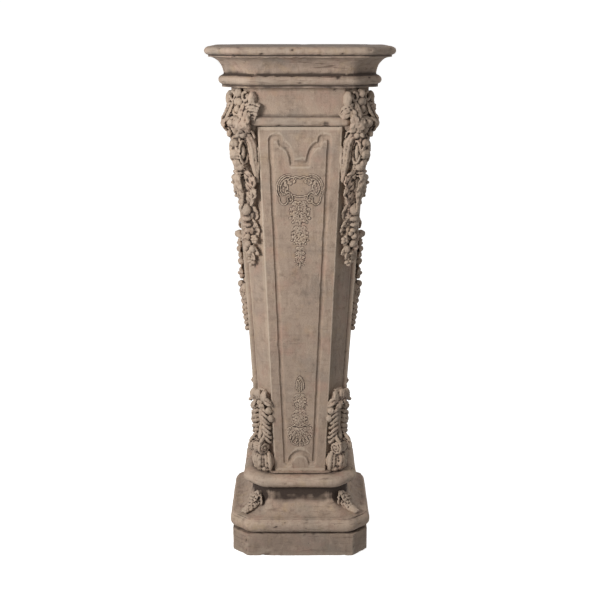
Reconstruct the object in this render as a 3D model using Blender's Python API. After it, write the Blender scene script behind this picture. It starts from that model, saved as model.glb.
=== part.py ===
"""Carved display pedestal: plinth block, moulded base, tapered shaft and moulded cap.

Metres, +Z up. The origin is the middle of the underside, and the front looks along -Y.
Whatever repeats is made facing the front, as (across, -outwards, up), and turned about the Z axis.
"""
import math

import bmesh
import bpy
from mathutils import Matrix, Vector

# Gap between pieces that rest on each other
JOINT = 0.0003
# How far a carving's root runs into the stone that carries it
ROOT = 0.006

# Plinth block: half width, corner cut, height
PLINTH_HALF = 0.159
PLINTH_CUT = 0.035
PLINTH_HEIGHT = 0.0565
PLINTH_ARRIS = 0.002

# Base: bed, lower torus, flare, throat, upper torus and fillet, from below
BASE_CUT = 0.042
BED_HALF = 0.152
BED_HEIGHT = 0.0025
LOWER_TORUS_HALF = 0.165
LOWER_TORUS_HEIGHT = 0.0355
FLARE_FOOT_HALF = 0.158
FLARE_HEIGHT = 0.037
THROAT_HALF = 0.114
THROAT_HEIGHT = 0.0245
UPPER_TORUS_HALF = 0.134
UPPER_TORUS_HEIGHT = 0.0315
BASE_FILLET_HALF = 0.108
BASE_FILLET_HEIGHT = 0.002

# Shaft: tapered core with a raised slab on each face
SHAFT_FOOT_HALF = 0.098
SHAFT_HEAD_HALF = 0.147
SLAB_FOOT_WIDTH = 0.1194
SLAB_HEAD_WIDTH = 0.1834
SLAB_HEIGHT = 0.8112
SLAB_PROUD = 0.010
STRIP_BULGE = 0.005
STRIP_TUCK = 0.002
UNDERCUT_HEIGHT = 0.002
ASTRAGAL_HEIGHT = 0.0195
ASTRAGAL_ROLL = 0.007
FRIEZE_HALF = 0.150
FRIEZE_CUT = 0.054
FRIEZE_HEIGHT = 0.0615

# Groove around the sunk panel on each slab
PANEL_MARGIN = 0.027
PANEL_HEAD_DROP = 0.023
PANEL_FOOT_RISE = 0.020
GROOVE_WIDTH = 0.010
GROOVE_DEPTH = 0.004
TAB_WIDTH = 0.088
TAB_TIP_WIDTH = 0.034
TAB_DEPTH = 0.056
ARCH_WIDTH = 0.048
ARCH_RISE = 0.026

# Cap: fillet, lower torus, neck and cyma, band and edge roll, from below
CAP_CUT = 0.057
CAP_FILLET_HALF = 0.170
CAP_FILLET_HEIGHT = 0.006
CAP_TORUS_HALF = 0.177
CAP_TORUS_HEIGHT = 0.019
CAP_NECK_HALF = 0.166
CAP_NECK_HEIGHT = 0.004
CYMA_HALF = 0.197
CYMA_HEIGHT = 0.035
CAP_BAND_HEIGHT = 0.004
CAP_HALF = 0.205
EDGE_ROLL_HEIGHT = 0.018

# Carving on the four corners: heights of its parts, and how far they stand out
HEAD_WIDTH = 0.066
HEAD_RELIEF = 0.026
CONSOLE_HEIGHT = 0.128
CONSOLE_WIDTH = 0.046
SCROLL_THICKNESS = 0.006
CONSOLE_RELIEF = 0.046
ACANTHUS_HEIGHT = 0.090
ACANTHUS_WIDTH = 0.068
DROP_HEIGHT = 0.128
DROP_WIDTH = 0.054
DROP_RELIEF = 0.026
FOOT_CONSOLE_HEIGHT = 0.198
FOOT_CONSOLE_WIDTH = 0.048
FOOT_CONSOLE_RELIEF = 0.034

# Fruit and ribbon drop on the two side faces
SIDE_DROP_TOP = 0.250
SIDE_DROP_HEIGHT = 0.250
SIDE_DROP_WIDTH = 0.066
SIDE_DROP_RELIEF = 0.024

# Leaf on each corner of the base flare
FLARE_LEAF_WIDTH = 0.046
FLARE_LEAF_RELIEF = 0.007

# Shades of the stone
PLINTH_STONE = (0.26, 0.21, 0.165)
BASE_STONE = (0.30, 0.235, 0.18)
SHAFT_STONE = (0.33, 0.26, 0.20)
CAP_STONE = (0.32, 0.255, 0.20)

# Heights of the joints between the pieces
BASE_FOOT = PLINTH_HEIGHT + JOINT
FLARE_FOOT = BASE_FOOT + BED_HEIGHT + LOWER_TORUS_HEIGHT
THROAT_FOOT = FLARE_FOOT + FLARE_HEIGHT
UPPER_TORUS_FOOT = THROAT_FOOT + THROAT_HEIGHT
BASE_TOP = UPPER_TORUS_FOOT + UPPER_TORUS_HEIGHT + BASE_FILLET_HEIGHT
SHAFT_FOOT = BASE_TOP + JOINT
SLAB_TOP = SHAFT_FOOT + SLAB_HEIGHT
ASTRAGAL_FOOT = SLAB_TOP + UNDERCUT_HEIGHT
FRIEZE_FOOT = ASTRAGAL_FOOT + ASTRAGAL_HEIGHT
SHAFT_TOP = FRIEZE_FOOT + FRIEZE_HEIGHT
CAP_FOOT = SHAFT_TOP + JOINT

FACES = [math.radians(90 * turn) for turn in range(4)]
CORNERS = [math.radians(45 + 90 * turn) for turn in range(4)]
SIDES = [math.radians(90), math.radians(-90)]
HALF_ROOT = math.sqrt(0.5)


def stone(name, colour):
    """Matt fired stone in one of its shades."""
    material = bpy.data.materials.new(name)
    material.use_nodes = True
    shader = material.node_tree.nodes["Principled BSDF"]
    shader.inputs["Base Color"].default_value = (*colour, 1.0)
    shader.inputs["Roughness"].default_value = 0.9
    shader.inputs["Metallic"].default_value = 0.0
    material.diffuse_color = (*colour, 1.0)
    return material


def finish(name, shape, colour):
    """Close a bmesh into the named object, facing out."""
    bmesh.ops.remove_doubles(shape, verts=shape.verts, dist=1e-6)
    bmesh.ops.recalc_face_normals(shape, faces=shape.faces)
    mesh = bpy.data.meshes.new(name)
    shape.to_mesh(mesh)
    shape.free()
    mesh.materials.append(stone(name, colour))
    piece = bpy.data.objects.new(name, mesh)
    bpy.context.collection.objects.link(piece)
    return piece


def as_tool(piece):
    """Mark an object as one that only shapes others."""
    piece.hide_render = True
    piece.display_type = "WIRE"
    return piece


def combine(piece, tool, operation):
    """Cut a tool's shells from a piece, or grow them out of it."""
    step = piece.modifiers.new(tool.name, "BOOLEAN")
    step.operation = operation
    step.solver = "EXACT"
    step.use_self = True
    step.object = tool


def arc(centre, reach, rise, start, end, steps):
    """Points (half width, height) along part of an ellipse, angles in degrees from straight out."""
    points = []
    for step in range(steps + 1):
        angle = math.radians(start + (end - start) * step / steps)
        points.append((centre[0] + reach * math.cos(angle), centre[1] + rise * math.sin(angle)))
    return points


def octagon(half, cut, height, bulge=0.0):
    """A square ring with its corners cut at 45 degrees, each cut crowned by the bulge."""
    flat = half - cut
    start = Vector((flat, -half))
    end = Vector((half, -flat))
    corner = [start, end]
    if bulge:
        crown = Vector((1, -1)) * (HALF_ROOT * bulge)
        corner = [start, start.lerp(end, 0.3) + crown, start.lerp(end, 0.7) + crown, end]
    ring = []
    for turn in range(4):
        turned = Matrix.Rotation(math.radians(90 * turn), 2)
        for point in corner:
            x, y = turned @ point
            ring.append(Vector((x, y, height)))
    return ring


def loft(shape, rings):
    """Skin a closed body over rings of equal length, with flat ends."""
    rows = [[shape.verts.new(point) for point in ring] for ring in rings]
    for lower, upper in zip(rows, rows[1:]):
        for index, vertex in enumerate(lower):
            after = (index + 1) % len(lower)
            shape.faces.new((vertex, lower[after], upper[after], upper[index]))
    shape.faces.new(list(reversed(rows[0])))
    shape.faces.new(rows[-1])


def moulding(profile, cut):
    """A corner-cut block with the given outline of (half width, height)."""
    shape = bmesh.new()
    loft(shape, [octagon(half, cut, height) for half, height in profile])
    return shape


def turned_points(points, angle):
    """Front-facing points as they stand after a turn about the Z axis."""
    turn = Matrix.Rotation(angle, 3, "Z")
    return [turn @ Vector(point) for point in points]


def taper(foot, head, height):
    """A value that runs straight from the slab's foot to its head."""
    return foot + (head - foot) * (height - SHAFT_FOOT) / SLAB_HEIGHT


def slab_face(height):
    """Distance of a slab's face from the axis."""
    return taper(SHAFT_FOOT_HALF, SHAFT_HEAD_HALF, height)


def slab_half_width(height):
    return taper(SLAB_FOOT_WIDTH, SLAB_HEAD_WIDTH, height) / 2


def strip_face(height):
    """Distance of the corner strip's crown from the axis, along the diagonal."""
    core = slab_face(height) - SLAB_PROUD
    return (core + slab_half_width(height) - STRIP_TUCK) * HALF_ROOT + STRIP_BULGE


def blob(shape, angle, centre, radii, segments=5, rings=3, tilt=0.0):
    """A fruit, bud or curl: an ellipsoid at (across, out, up), tilted in its face's plane."""
    place = Matrix.Rotation(angle, 4, "Z") @ Matrix.Translation((centre[0], -centre[1], centre[2]))
    place = place @ Matrix.Rotation(tilt, 4, "Y")
    place = place @ Matrix.Diagonal((radii[0], radii[1], radii[2], 1.0))
    bmesh.ops.create_uvsphere(shape, u_segments=segments, v_segments=rings, radius=1.0, matrix=place)


def band(shape, angle, path, widths, depths, sides=4, across=None):
    """A swept scroll, stem or leaf along a path of (across, out, up) points."""
    points = [Vector((x, -out, up)) for x, out, up in path]
    rings = []
    for index, point in enumerate(points):
        before = points[max(index - 1, 0)]
        after = points[min(index + 1, len(points) - 1)]
        run = (after - before).normalized()
        side = Vector(across or (1, 0, 0))
        side = (side - run * side.dot(run)).normalized()
        lift = run.cross(side)
        ring = []
        for corner in range(sides):
            turn = 2 * math.pi * (corner + 0.5 * (sides > 4)) / sides
            reach = side * (widths[index] * math.cos(turn)) + lift * (depths[index] * math.sin(turn))
            ring.append(point + reach)
        rings.append(turned_points(ring, angle))
    loft(shape, rings)


def plate(shape, angle, outline, half_width):
    """An outline of (out, up) points, as thick as twice the half width."""
    rings = []
    for across in (-half_width, half_width):
        rings.append(turned_points([(across, -out, up) for out, up in outline], angle))
    loft(shape, rings)


def ribbon(shape, angle, line, thickness, half_width):
    """A scroll: a strip of even thickness along a line of (out, up) points."""
    outer = []
    inner = []
    for index, point in enumerate(line):
        before = Vector(line[max(index - 1, 0)])
        after = Vector(line[min(index + 1, len(line) - 1)])
        run = (after - before).normalized()
        shift = Vector((-run.y, run.x)) * (thickness / 2)
        outer.append(Vector(point) + shift)
        inner.append(Vector(point) - shift)
    plate(shape, angle, outer + inner[::-1], half_width)


def plinth_block():
    profile = [
        (PLINTH_HALF - PLINTH_ARRIS, 0.0),
        (PLINTH_HALF, PLINTH_ARRIS),
        (PLINTH_HALF, PLINTH_HEIGHT - PLINTH_ARRIS),
        (PLINTH_HALF - PLINTH_ARRIS, PLINTH_HEIGHT),
    ]
    return finish("plinth_block", moulding(profile, PLINTH_CUT), PLINTH_STONE)


def base_profile():
    """Outline of the base from its bed to its top fillet."""
    torus_middle = BASE_FOOT + BED_HEIGHT + LOWER_TORUS_HEIGHT / 2
    upper_middle = UPPER_TORUS_FOOT + UPPER_TORUS_HEIGHT / 2
    lower_reach = LOWER_TORUS_HALF - BED_HALF
    upper_reach = UPPER_TORUS_HALF - THROAT_HALF
    profile = [(BED_HALF, BASE_FOOT)]
    profile += arc((BED_HALF, torus_middle), lower_reach, LOWER_TORUS_HEIGHT / 2, -90, 60, 6)
    profile += arc((FLARE_FOOT_HALF, THROAT_FOOT), THROAT_HALF - FLARE_FOOT_HALF, FLARE_HEIGHT, -90, 0, 5)
    profile += arc((THROAT_HALF, upper_middle), upper_reach, UPPER_TORUS_HEIGHT / 2, -90, 75, 6)
    profile += [(BASE_FILLET_HALF, BASE_TOP - BASE_FILLET_HEIGHT), (BASE_FILLET_HALF, BASE_TOP)]
    return profile


def flare_leaf(shape, angle):
    """A lobed leaf that lies down the flare on a cut corner."""
    def corner_face(half):
        return (2 * half - BASE_CUT) * HALF_ROOT

    curve = arc((FLARE_FOOT_HALF, THROAT_FOOT), THROAT_HALF - FLARE_FOOT_HALF, FLARE_HEIGHT, -75, 0, 4)
    path = [(0, corner_face(half) + FLARE_LEAF_RELIEF * 0.3, height) for half, height in curve]
    widths = [FLARE_LEAF_WIDTH / 2 * share for share in (0.35, 0.95, 0.8, 1.0, 0.5)]
    band(shape, angle, path, widths, [FLARE_LEAF_RELIEF] * len(path))


def base():
    piece = finish("base", moulding(base_profile(), BASE_CUT), BASE_STONE)
    leaves = bmesh.new()
    for angle in CORNERS:
        flare_leaf(leaves, angle)
    combine(piece, as_tool(finish("base_leaves", leaves, BASE_STONE)), "UNION")
    return piece


def shaft_core():
    """The tapered core, with a crowned strip down each corner."""
    rings = []
    for height in (SHAFT_FOOT, ASTRAGAL_FOOT + ROOT):
        core = slab_face(height) - SLAB_PROUD
        rings.append(octagon(core, core - slab_half_width(height) + STRIP_TUCK, height, STRIP_BULGE))
    shape = bmesh.new()
    loft(shape, rings)
    return shape


def frieze(shape):
    """The half-round and the plain frieze over the slabs."""
    middle = (FRIEZE_HALF, ASTRAGAL_FOOT + ASTRAGAL_HEIGHT / 2)
    profile = arc(middle, ASTRAGAL_ROLL, ASTRAGAL_HEIGHT / 2, -90, 90, 5)
    profile.append((FRIEZE_HALF, SHAFT_TOP))
    loft(shape, [octagon(half, FRIEZE_CUT, height) for half, height in profile])


def slab(shape, angle):
    """One raised slab, a tapered board whose back is sunk in the core."""
    rings = []
    for height in (SHAFT_FOOT, SLAB_TOP):
        face = slab_face(height)
        back = face - SLAB_PROUD - ROOT
        wide = slab_half_width(height)
        front_edge = [(-wide, -face, height), (wide, -face, height)]
        ring = front_edge + [(wide, -back, height), (-wide, -back, height)]
        rings.append(turned_points(ring, angle))
    loft(shape, rings)


def panel_outline():
    """Middle line of the groove on the front face, as (across, up) points."""
    head = SLAB_TOP - PANEL_HEAD_DROP
    foot = SHAFT_FOOT + PANEL_FOOT_RISE
    head_half = slab_half_width(head) - PANEL_MARGIN
    foot_half = slab_half_width(foot) - PANEL_MARGIN
    right = [(foot_half, foot), (head_half, head), (TAB_WIDTH / 2, head)]
    shoulder = (TAB_WIDTH / 2, head - TAB_DEPTH * 0.25)
    tip = (TAB_TIP_WIDTH / 2, head - TAB_DEPTH)
    for step in range(5):
        angle = math.radians(90 * step / 4)
        across = tip[0] + (shoulder[0] - tip[0]) * (1 - math.sin(angle))
        up = tip[1] + (shoulder[1] - tip[1]) * math.cos(angle)
        right.append((across, up))
    left = [(-across, up) for across, up in reversed(right)]
    arch = []
    for step in range(6):
        angle = math.radians(180 - 180 * step / 5)
        arch.append((ARCH_WIDTH / 2 * math.cos(angle), foot + ARCH_RISE * math.sin(angle)))
    return right + left + arch


def offset(outline, distance):
    """The outline moved sideways by a distance, with mitred corners."""
    moved = []
    for index, point in enumerate(outline):
        here = Vector(point)
        before = (here - Vector(outline[index - 1])).normalized()
        after = (Vector(outline[(index + 1) % len(outline)]) - here).normalized()
        normal_before = Vector((before.y, -before.x))
        normal_after = Vector((after.y, -after.x))
        mitre = (normal_before + normal_after).normalized()
        moved.append(here + mitre * (distance / max(mitre.dot(normal_before), 0.5)))
    return moved


def groove(shape, angle):
    """A V-shaped channel along the panel outline, with its top left proud to cut cleanly."""
    outline = panel_outline()
    lines = [
        (offset(outline, GROOVE_WIDTH / 2), 0.0),
        (offset(outline, 0.0), -GROOVE_DEPTH),
        (offset(outline, -GROOVE_WIDTH / 2), 0.0),
        (offset(outline, -GROOVE_WIDTH / 2), GROOVE_DEPTH),
        (offset(outline, GROOVE_WIDTH / 2), GROOVE_DEPTH),
    ]
    rows = []
    for line, lift in lines:
        points = [(across, -(slab_face(up) + lift), up) for across, up in line]
        rows.append([shape.verts.new(point) for point in turned_points(points, angle)])
    for row, other in zip(rows, rows[1:] + rows[:1]):
        for index, vertex in enumerate(row):
            after = (index + 1) % len(row)
            shape.faces.new((vertex, row[after], other[after], other[index]))


def leaf_head(shape, angle):
    """The shell and leaf head on a frieze corner, with its oval boss, curls and wings."""
    wall = (2 * FRIEZE_HALF - FRIEZE_CUT) * HALF_ROOT
    middle = ASTRAGAL_FOOT + (SHAFT_TOP - ASTRAGAL_FOOT) / 2
    tall = SHAFT_TOP - ASTRAGAL_FOOT
    wide = HEAD_WIDTH / 2
    blob(shape, angle, (0, wall, middle), (wide * 0.8, HEAD_RELIEF * 0.7, tall * 0.42), segments=7, rings=4)
    boss = (wide * 0.26, HEAD_RELIEF * 0.3, tall * 0.16)
    blob(shape, angle, (0, wall + HEAD_RELIEF * 0.65, middle), boss)
    for side in (-1, 1):
        curl = (side * wide * 0.42, wall + HEAD_RELIEF * 0.45, middle + tall * 0.34)
        blob(shape, angle, curl, (wide * 0.36, HEAD_RELIEF * 0.45, tall * 0.13), tilt=side * 0.5)
        lip = (side * wide * 0.46, wall + HEAD_RELIEF * 0.5, middle - tall * 0.33)
        blob(shape, angle, lip, (wide * 0.42, HEAD_RELIEF * 0.45, tall * 0.15), tilt=-side * 0.5)
        wing = [
            (side * wide * 0.3, wall + HEAD_RELIEF * 0.4, middle),
            (side * wide * 0.95, wall + HEAD_RELIEF * 0.30, middle + tall * 0.04),
            (side * wide * 1.5, wall - HEAD_RELIEF * 0.30, middle - tall * 0.06),
        ]
        band(shape, angle, wing, [tall * 0.16, tall * 0.26, tall * 0.10], [ROOT] * 3, across=(0, 0, 1))


def head_console(shape, angle):
    """The scrolled bracket under the leaf head, with a bud drop on its spine."""
    top = ASTRAGAL_FOOT
    half = CONSOLE_WIDTH / 2

    def at(rise, lift):
        height = top - CONSOLE_HEIGHT * rise
        return strip_face(height) + CONSOLE_RELIEF * lift, height

    body = [at(rise, lift) for rise, lift in
            ((0.02, 0.45), (0.10, 0.80), (0.32, 0.82), (0.55, 0.60), (0.80, 0.34), (1.0, -0.05))]
    back = [(strip_face(up) - ROOT, up) for out, up in (body[-1], body[0])]
    plate(shape, angle, body + back, half * 0.7)
    scroll = [at(rise, lift) for rise, lift in
              ((0.10, 0.96), (0.01, 0.66), (0.06, 0.22), (0.24, 0.04), (0.44, 0.14),
               (0.52, 0.42), (0.42, 0.64), (0.27, 0.58), (0.22, 0.38))]
    ribbon(shape, angle, scroll, SCROLL_THICKNESS, half)
    for rise, lift, size in ((0.24, 0.90, 1.0), (0.44, 0.78, 0.9), (0.63, 0.58, 0.8)):
        out, up = at(rise, lift)
        radius = CONSOLE_HEIGHT * 0.085 * size
        blob(shape, angle, (0, out, up), (radius * 0.95, radius * 0.85, radius * 1.25))


def acanthus(shape, angle):
    """The leaf that hangs below the bracket, with turned-out side tips."""
    top = ASTRAGAL_FOOT - CONSOLE_HEIGHT * 0.80
    wide = ACANTHUS_WIDTH / 2

    def at(rise, lift):
        height = top - ACANTHUS_HEIGHT * rise
        return strip_face(height) + DROP_RELIEF * lift, height

    spine = [(0, *at(rise, lift)) for rise, lift in
             ((0.0, 0.2), (0.3, 0.5), (0.6, 0.45), (0.85, 0.35), (1.0, 0.6))]
    spine_widths = [wide * share for share in (0.45, 0.6, 0.5, 0.34, 0.12)]
    band(shape, angle, spine, spine_widths, [0.007, 0.008, 0.007, 0.006, 0.004])
    for side in (-1, 1):
        for start, end, reach in ((0.0, 0.36, 1.0), (0.36, 0.80, 0.85)):
            middle = (start + end) / 2
            tip = [
                (side * wide * 0.12, *at(start, 0.25)),
                (side * wide * 0.55, *at(middle, 0.35)),
                (side * wide * reach, *at(end, 0.30)),
            ]
            tip_widths = [wide * 0.16, wide * 0.22, wide * 0.13]
            band(shape, angle, tip, tip_widths, [0.005, 0.006, 0.005], across=(0.8, 0, 0.6))


def fruit_drop(shape, angle):
    """Bud, husk, fruit cluster and end rosette that hang below the leaf."""
    top = ASTRAGAL_FOOT - CONSOLE_HEIGHT * 0.80 - ACANTHUS_HEIGHT * 0.92
    wide = DROP_WIDTH / 2

    def at(rise, lift):
        height = top - DROP_HEIGHT * rise
        return strip_face(height) + DROP_RELIEF * lift, height

    def fruit(across, rise, lift, radius, stretch=1.0):
        out, up = at(rise, lift)
        size = DROP_WIDTH * radius
        blob(shape, angle, (wide * across, out, up), (size, size * 0.9, size * stretch))

    fruit(0.0, 0.07, 0.30, 0.24, 1.1)
    fruit(0.0, 0.25, 0.25, 0.32, 0.7)
    for across, rise, radius in ((-0.60, 0.48, 0.25), (0.60, 0.52, 0.25),
                                 (0.0, 0.54, 0.27), (0.10, 0.74, 0.26)):
        fruit(across, rise, 0.22, radius)
    fruit(0.0, 0.92, 0.22, 0.24)


def foot_console(shape, angle):
    """The leafy scroll that stands on the shaft's foot, with curls, lobes, volute and shell foot."""
    wide = FOOT_CONSOLE_WIDTH / 2

    def at(rise, lift):
        height = SHAFT_FOOT + FOOT_CONSOLE_HEIGHT * rise
        return strip_face(height) + FOOT_CONSOLE_RELIEF * lift, height

    body = [at(rise, lift) for rise, lift in
            ((0.05, 0.30), (0.16, 0.50), (0.30, 0.55), (0.46, 0.25),
             (0.66, 0.20), (0.86, 0.36), (0.97, 0.05))]
    back = [(strip_face(up) - ROOT, up) for out, up in (body[-1], body[0])]
    plate(shape, angle, body + back, wide * 0.7)
    scroll = [at(rise, lift) for rise, lift in
              ((1.0, 0.15), (0.90, 0.50), (0.76, 0.44), (0.60, 0.28), (0.46, 0.42), (0.37, 0.74),
               (0.26, 0.84), (0.17, 0.56), (0.22, 0.28), (0.31, 0.36), (0.29, 0.56))]
    ribbon(shape, angle, scroll, SCROLL_THICKNESS, wide * 0.85)
    foot = at(0.0, 0.0)
    blob(shape, angle, (0, foot[0] + FOOT_CONSOLE_RELIEF * 0.3, foot[1] + FOOT_CONSOLE_HEIGHT * 0.085),
         (wide * 0.95, FOOT_CONSOLE_RELIEF * 0.60, FOOT_CONSOLE_HEIGHT * 0.080), segments=7)
    for side in (-1, 1):
        for rise, reach, size in ((0.55, 0.80, 0.22), (0.80, 0.85, 0.25)):
            out, up = at(rise, 0.08)
            radius = FOOT_CONSOLE_WIDTH * size
            middle = (side * wide * reach, out, up)
            blob(shape, angle, middle, (radius, radius, radius * 1.1), tilt=side * 0.6)


def side_drop(shape, angle):
    """Fruit, flower, ribbon and bell buds down the middle of a side face."""
    top = SLAB_TOP - SIDE_DROP_TOP
    wide = SIDE_DROP_WIDTH / 2

    def at(rise, lift):
        height = top - SIDE_DROP_HEIGHT * rise
        return slab_face(height) + SIDE_DROP_RELIEF * lift, height

    def fruit(across, rise, radius, lift=0.22, stretch=1.0):
        out, up = at(rise, lift)
        size = SIDE_DROP_WIDTH * radius
        blob(shape, angle, (wide * across, out, up), (size, size * 0.9, size * stretch))

    for across, rise, radius in ((0.0, 0.05, 0.22), (-0.6, 0.14, 0.20), (0.6, 0.16, 0.20),
                                 (0.0, 0.24, 0.24), (0.0, 0.40, 0.26)):
        fruit(across, rise, radius)
    for side in (-1, 1):
        tail = [
            (side * wide * 0.1, *at(0.50, 0.35)),
            (side * wide * 0.75, *at(0.54, 0.5)),
            (side * wide * 0.9, *at(0.62, 0.2)),
        ]
        band(shape, angle, tail, [0.006, 0.011, 0.005], [0.006, 0.007, 0.005], across=(0, 0, 1))
    for rise, radius in ((0.56, 0.21), (0.68, 0.16), (0.78, 0.14), (0.87, 0.12), (0.95, 0.10)):
        fruit(0.0, rise, radius, lift=0.25, stretch=1.3)
    stem = [(0, *at(rise, 0.0)) for rise in (0.0, 0.5, 1.0)]
    band(shape, angle, stem, [wide * 0.4, wide * 0.35, wide * 0.12], [ROOT] * 3)


def shaft():
    piece = finish("shaft", shaft_core(), SHAFT_STONE)
    blocks = bmesh.new()
    grooves = bmesh.new()
    frieze(blocks)
    for angle in FACES:
        slab(blocks, angle)
        groove(grooves, angle)
    carving = bmesh.new()
    for angle in CORNERS:
        leaf_head(carving, angle)
        head_console(carving, angle)
        acanthus(carving, angle)
        fruit_drop(carving, angle)
        foot_console(carving, angle)
    for angle in SIDES:
        side_drop(carving, angle)
    combine(piece, as_tool(finish("shaft_blocks", blocks, SHAFT_STONE)), "UNION")
    combine(piece, as_tool(finish("shaft_grooves", grooves, SHAFT_STONE)), "DIFFERENCE")
    combine(piece, as_tool(finish("shaft_carving", carving, SHAFT_STONE)), "UNION")
    return piece


def cap():
    torus_foot = CAP_FOOT + CAP_FILLET_HEIGHT
    neck_foot = torus_foot + CAP_TORUS_HEIGHT
    cyma_top = neck_foot + CAP_NECK_HEIGHT + CYMA_HEIGHT
    roll_foot = cyma_top + CAP_BAND_HEIGHT
    profile = [(CAP_FILLET_HALF, CAP_FOOT), (CAP_FILLET_HALF, torus_foot)]
    torus_middle = (CAP_NECK_HALF, torus_foot + CAP_TORUS_HEIGHT / 2)
    profile += arc(torus_middle, CAP_TORUS_HALF - CAP_NECK_HALF, CAP_TORUS_HEIGHT / 2, -60, 70, 5)
    profile += arc((CYMA_HALF, neck_foot), CAP_NECK_HALF - CYMA_HALF, cyma_top - neck_foot, 6, 90, 7)
    profile += [(CYMA_HALF, roll_foot)]
    roll_middle = (CYMA_HALF, roll_foot + EDGE_ROLL_HEIGHT / 2)
    profile += arc(roll_middle, CAP_HALF - CYMA_HALF, EDGE_ROLL_HEIGHT / 2, -60, 90, 5)
    return finish("cap", moulding(profile, CAP_CUT), CAP_STONE)


for leftover in list(bpy.data.objects):
    bpy.data.objects.remove(leftover)
plinth_block()
base()
shaft()
cap()
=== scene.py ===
"""A carved stone display pedestal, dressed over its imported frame.

Metres, +Z up, the front along -Y. Carvings are set out in millimetres as (across, lift, height):
across the wall that carries them, lifted off it, and the height above the floor.
"""
import math

import bmesh
import bpy
import numpy as np
from mathutils import Matrix, Vector, noise


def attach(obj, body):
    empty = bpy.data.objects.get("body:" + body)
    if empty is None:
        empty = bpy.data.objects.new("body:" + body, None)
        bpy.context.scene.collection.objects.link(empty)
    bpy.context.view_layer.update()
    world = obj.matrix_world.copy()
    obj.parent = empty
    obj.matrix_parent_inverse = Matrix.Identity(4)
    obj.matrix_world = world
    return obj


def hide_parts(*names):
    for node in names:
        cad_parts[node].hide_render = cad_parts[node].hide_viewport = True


MM = 0.001
ROOT_HALF = math.sqrt(0.5)

# Gap between pieces that rest on each other
JOINT = 0.0003

# Plinth block
PLINTH_HALF = 0.159
PLINTH_CUT = 0.035
PLINTH_HEIGHT = 0.0565

# Base
BASE_CUT = 0.042
BED_HALF = 0.152
BED_HEIGHT = 0.0025
LOWER_TORUS_HALF = 0.165
LOWER_TORUS_HEIGHT = 0.0355
FLARE_FOOT_HALF = 0.158
FLARE_HEIGHT = 0.037
THROAT_HALF = 0.114
THROAT_HEIGHT = 0.0245
UPPER_TORUS_HALF = 0.134
UPPER_TORUS_HEIGHT = 0.0315
BASE_FILLET_HALF = 0.108
BASE_FILLET_HEIGHT = 0.002

# Shaft
SHAFT_FOOT_HALF = 0.098
SHAFT_HEAD_HALF = 0.147
SLAB_FOOT_WIDTH = 0.1194
SLAB_HEAD_WIDTH = 0.1834
SLAB_HEIGHT = 0.8112
SLAB_PROUD = 0.010
STRIP_BULGE = 0.005
STRIP_TUCK = 0.002
UNDERCUT_HEIGHT = 0.002
ASTRAGAL_HEIGHT = 0.0195
ASTRAGAL_ROLL = 0.007
FRIEZE_HALF = 0.150
FRIEZE_CUT = 0.054
FRIEZE_HEIGHT = 0.0615

# Groove round the panel on each slab
PANEL_MARGIN = 0.027
PANEL_HEAD_DROP = 0.023
PANEL_FOOT_RISE = 0.020
GROOVE_WIDTH = 0.010
GROOVE_DEPTH = 0.0042
TAB_WIDTH = 0.088
TAB_TIP_WIDTH = 0.036
TAB_DEPTH = 0.056
ARCH_WIDTH = 0.048
ARCH_RISE = 0.026

# Cap
CAP_CUT = 0.057
CAP_FILLET_HALF = 0.170
CAP_FILLET_HEIGHT = 0.006
CAP_TORUS_HALF = 0.177
CAP_TORUS_HEIGHT = 0.019
CAP_NECK_HALF = 0.166
CAP_NECK_HEIGHT = 0.004
CYMA_HALF = 0.197
CYMA_HEIGHT = 0.035
CAP_BAND_HEIGHT = 0.004
CAP_HALF = 0.205
EDGE_ROLL_HEIGHT = 0.018

# Heights of the joints
BASE_FOOT = PLINTH_HEIGHT + JOINT
FLARE_FOOT = BASE_FOOT + BED_HEIGHT + LOWER_TORUS_HEIGHT
THROAT_FOOT = FLARE_FOOT + FLARE_HEIGHT
UPPER_TORUS_FOOT = THROAT_FOOT + THROAT_HEIGHT
BASE_TOP = UPPER_TORUS_FOOT + UPPER_TORUS_HEIGHT + BASE_FILLET_HEIGHT
SHAFT_FOOT = BASE_TOP + JOINT
SLAB_TOP = SHAFT_FOOT + SLAB_HEIGHT
ASTRAGAL_FOOT = SLAB_TOP + UNDERCUT_HEIGHT
FRIEZE_FOOT = ASTRAGAL_FOOT + ASTRAGAL_HEIGHT
SHAFT_TOP = FRIEZE_FOOT + FRIEZE_HEIGHT
CAP_FOOT = SHAFT_TOP + JOINT

CORNERS = (45, 135, 225, 315)

# How finely the stone is modelled
CARVING_GRAIN = 0.0012
RELIEF_STEP = 0.0012
SLAB_STEP = 0.0045
BLOCK_STEP = 0.007
CAP_STEP = 0.008
CORE_ROWS = 110
STRIP_STEPS = 18

# Wear: the rise of a full arris, the widths of swells, chips and the patches of painted shade and dirt, and
# worn edges
ARRIS_RISE = 0.0003
WIDE_SWELL = 0.045
SMALL_SWELL = 0.012
CHIP_WIDTH = 0.011
SHADE_AND_DIRT_PATCH = 0.016
PLINTH_WORN_FOOT = 0.0045
SLAB_EDGE_WEAR = 0.0014
SLAB_EDGE_WIDTH = 0.0022

# How far the slabs' backs and the core's head run into their neighbours
SLAB_SUNK = 0.004
HEAD_SUNK = 0.004

# Edges sharper than these stay crisp when the stone is shaded
BLOCK_ARRIS = math.radians(34)
SLAB_ARRIS = math.radians(50)

# Stains and dirt on the stone; the first colour is painted shade for hollows and under mouldings, with some
# soot
SOOT_AND_SHADE = "#2B1E16"
PIT = "#3F3128"
STREAK = "#6B5646"
LAYER = "#594538"
STAIN = "#5E4B3D"
BLOOM = "#C4AE9A"
GRAIN = "#6E5B4A"
WORN_ARRIS = "#CDBBA6"

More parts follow.
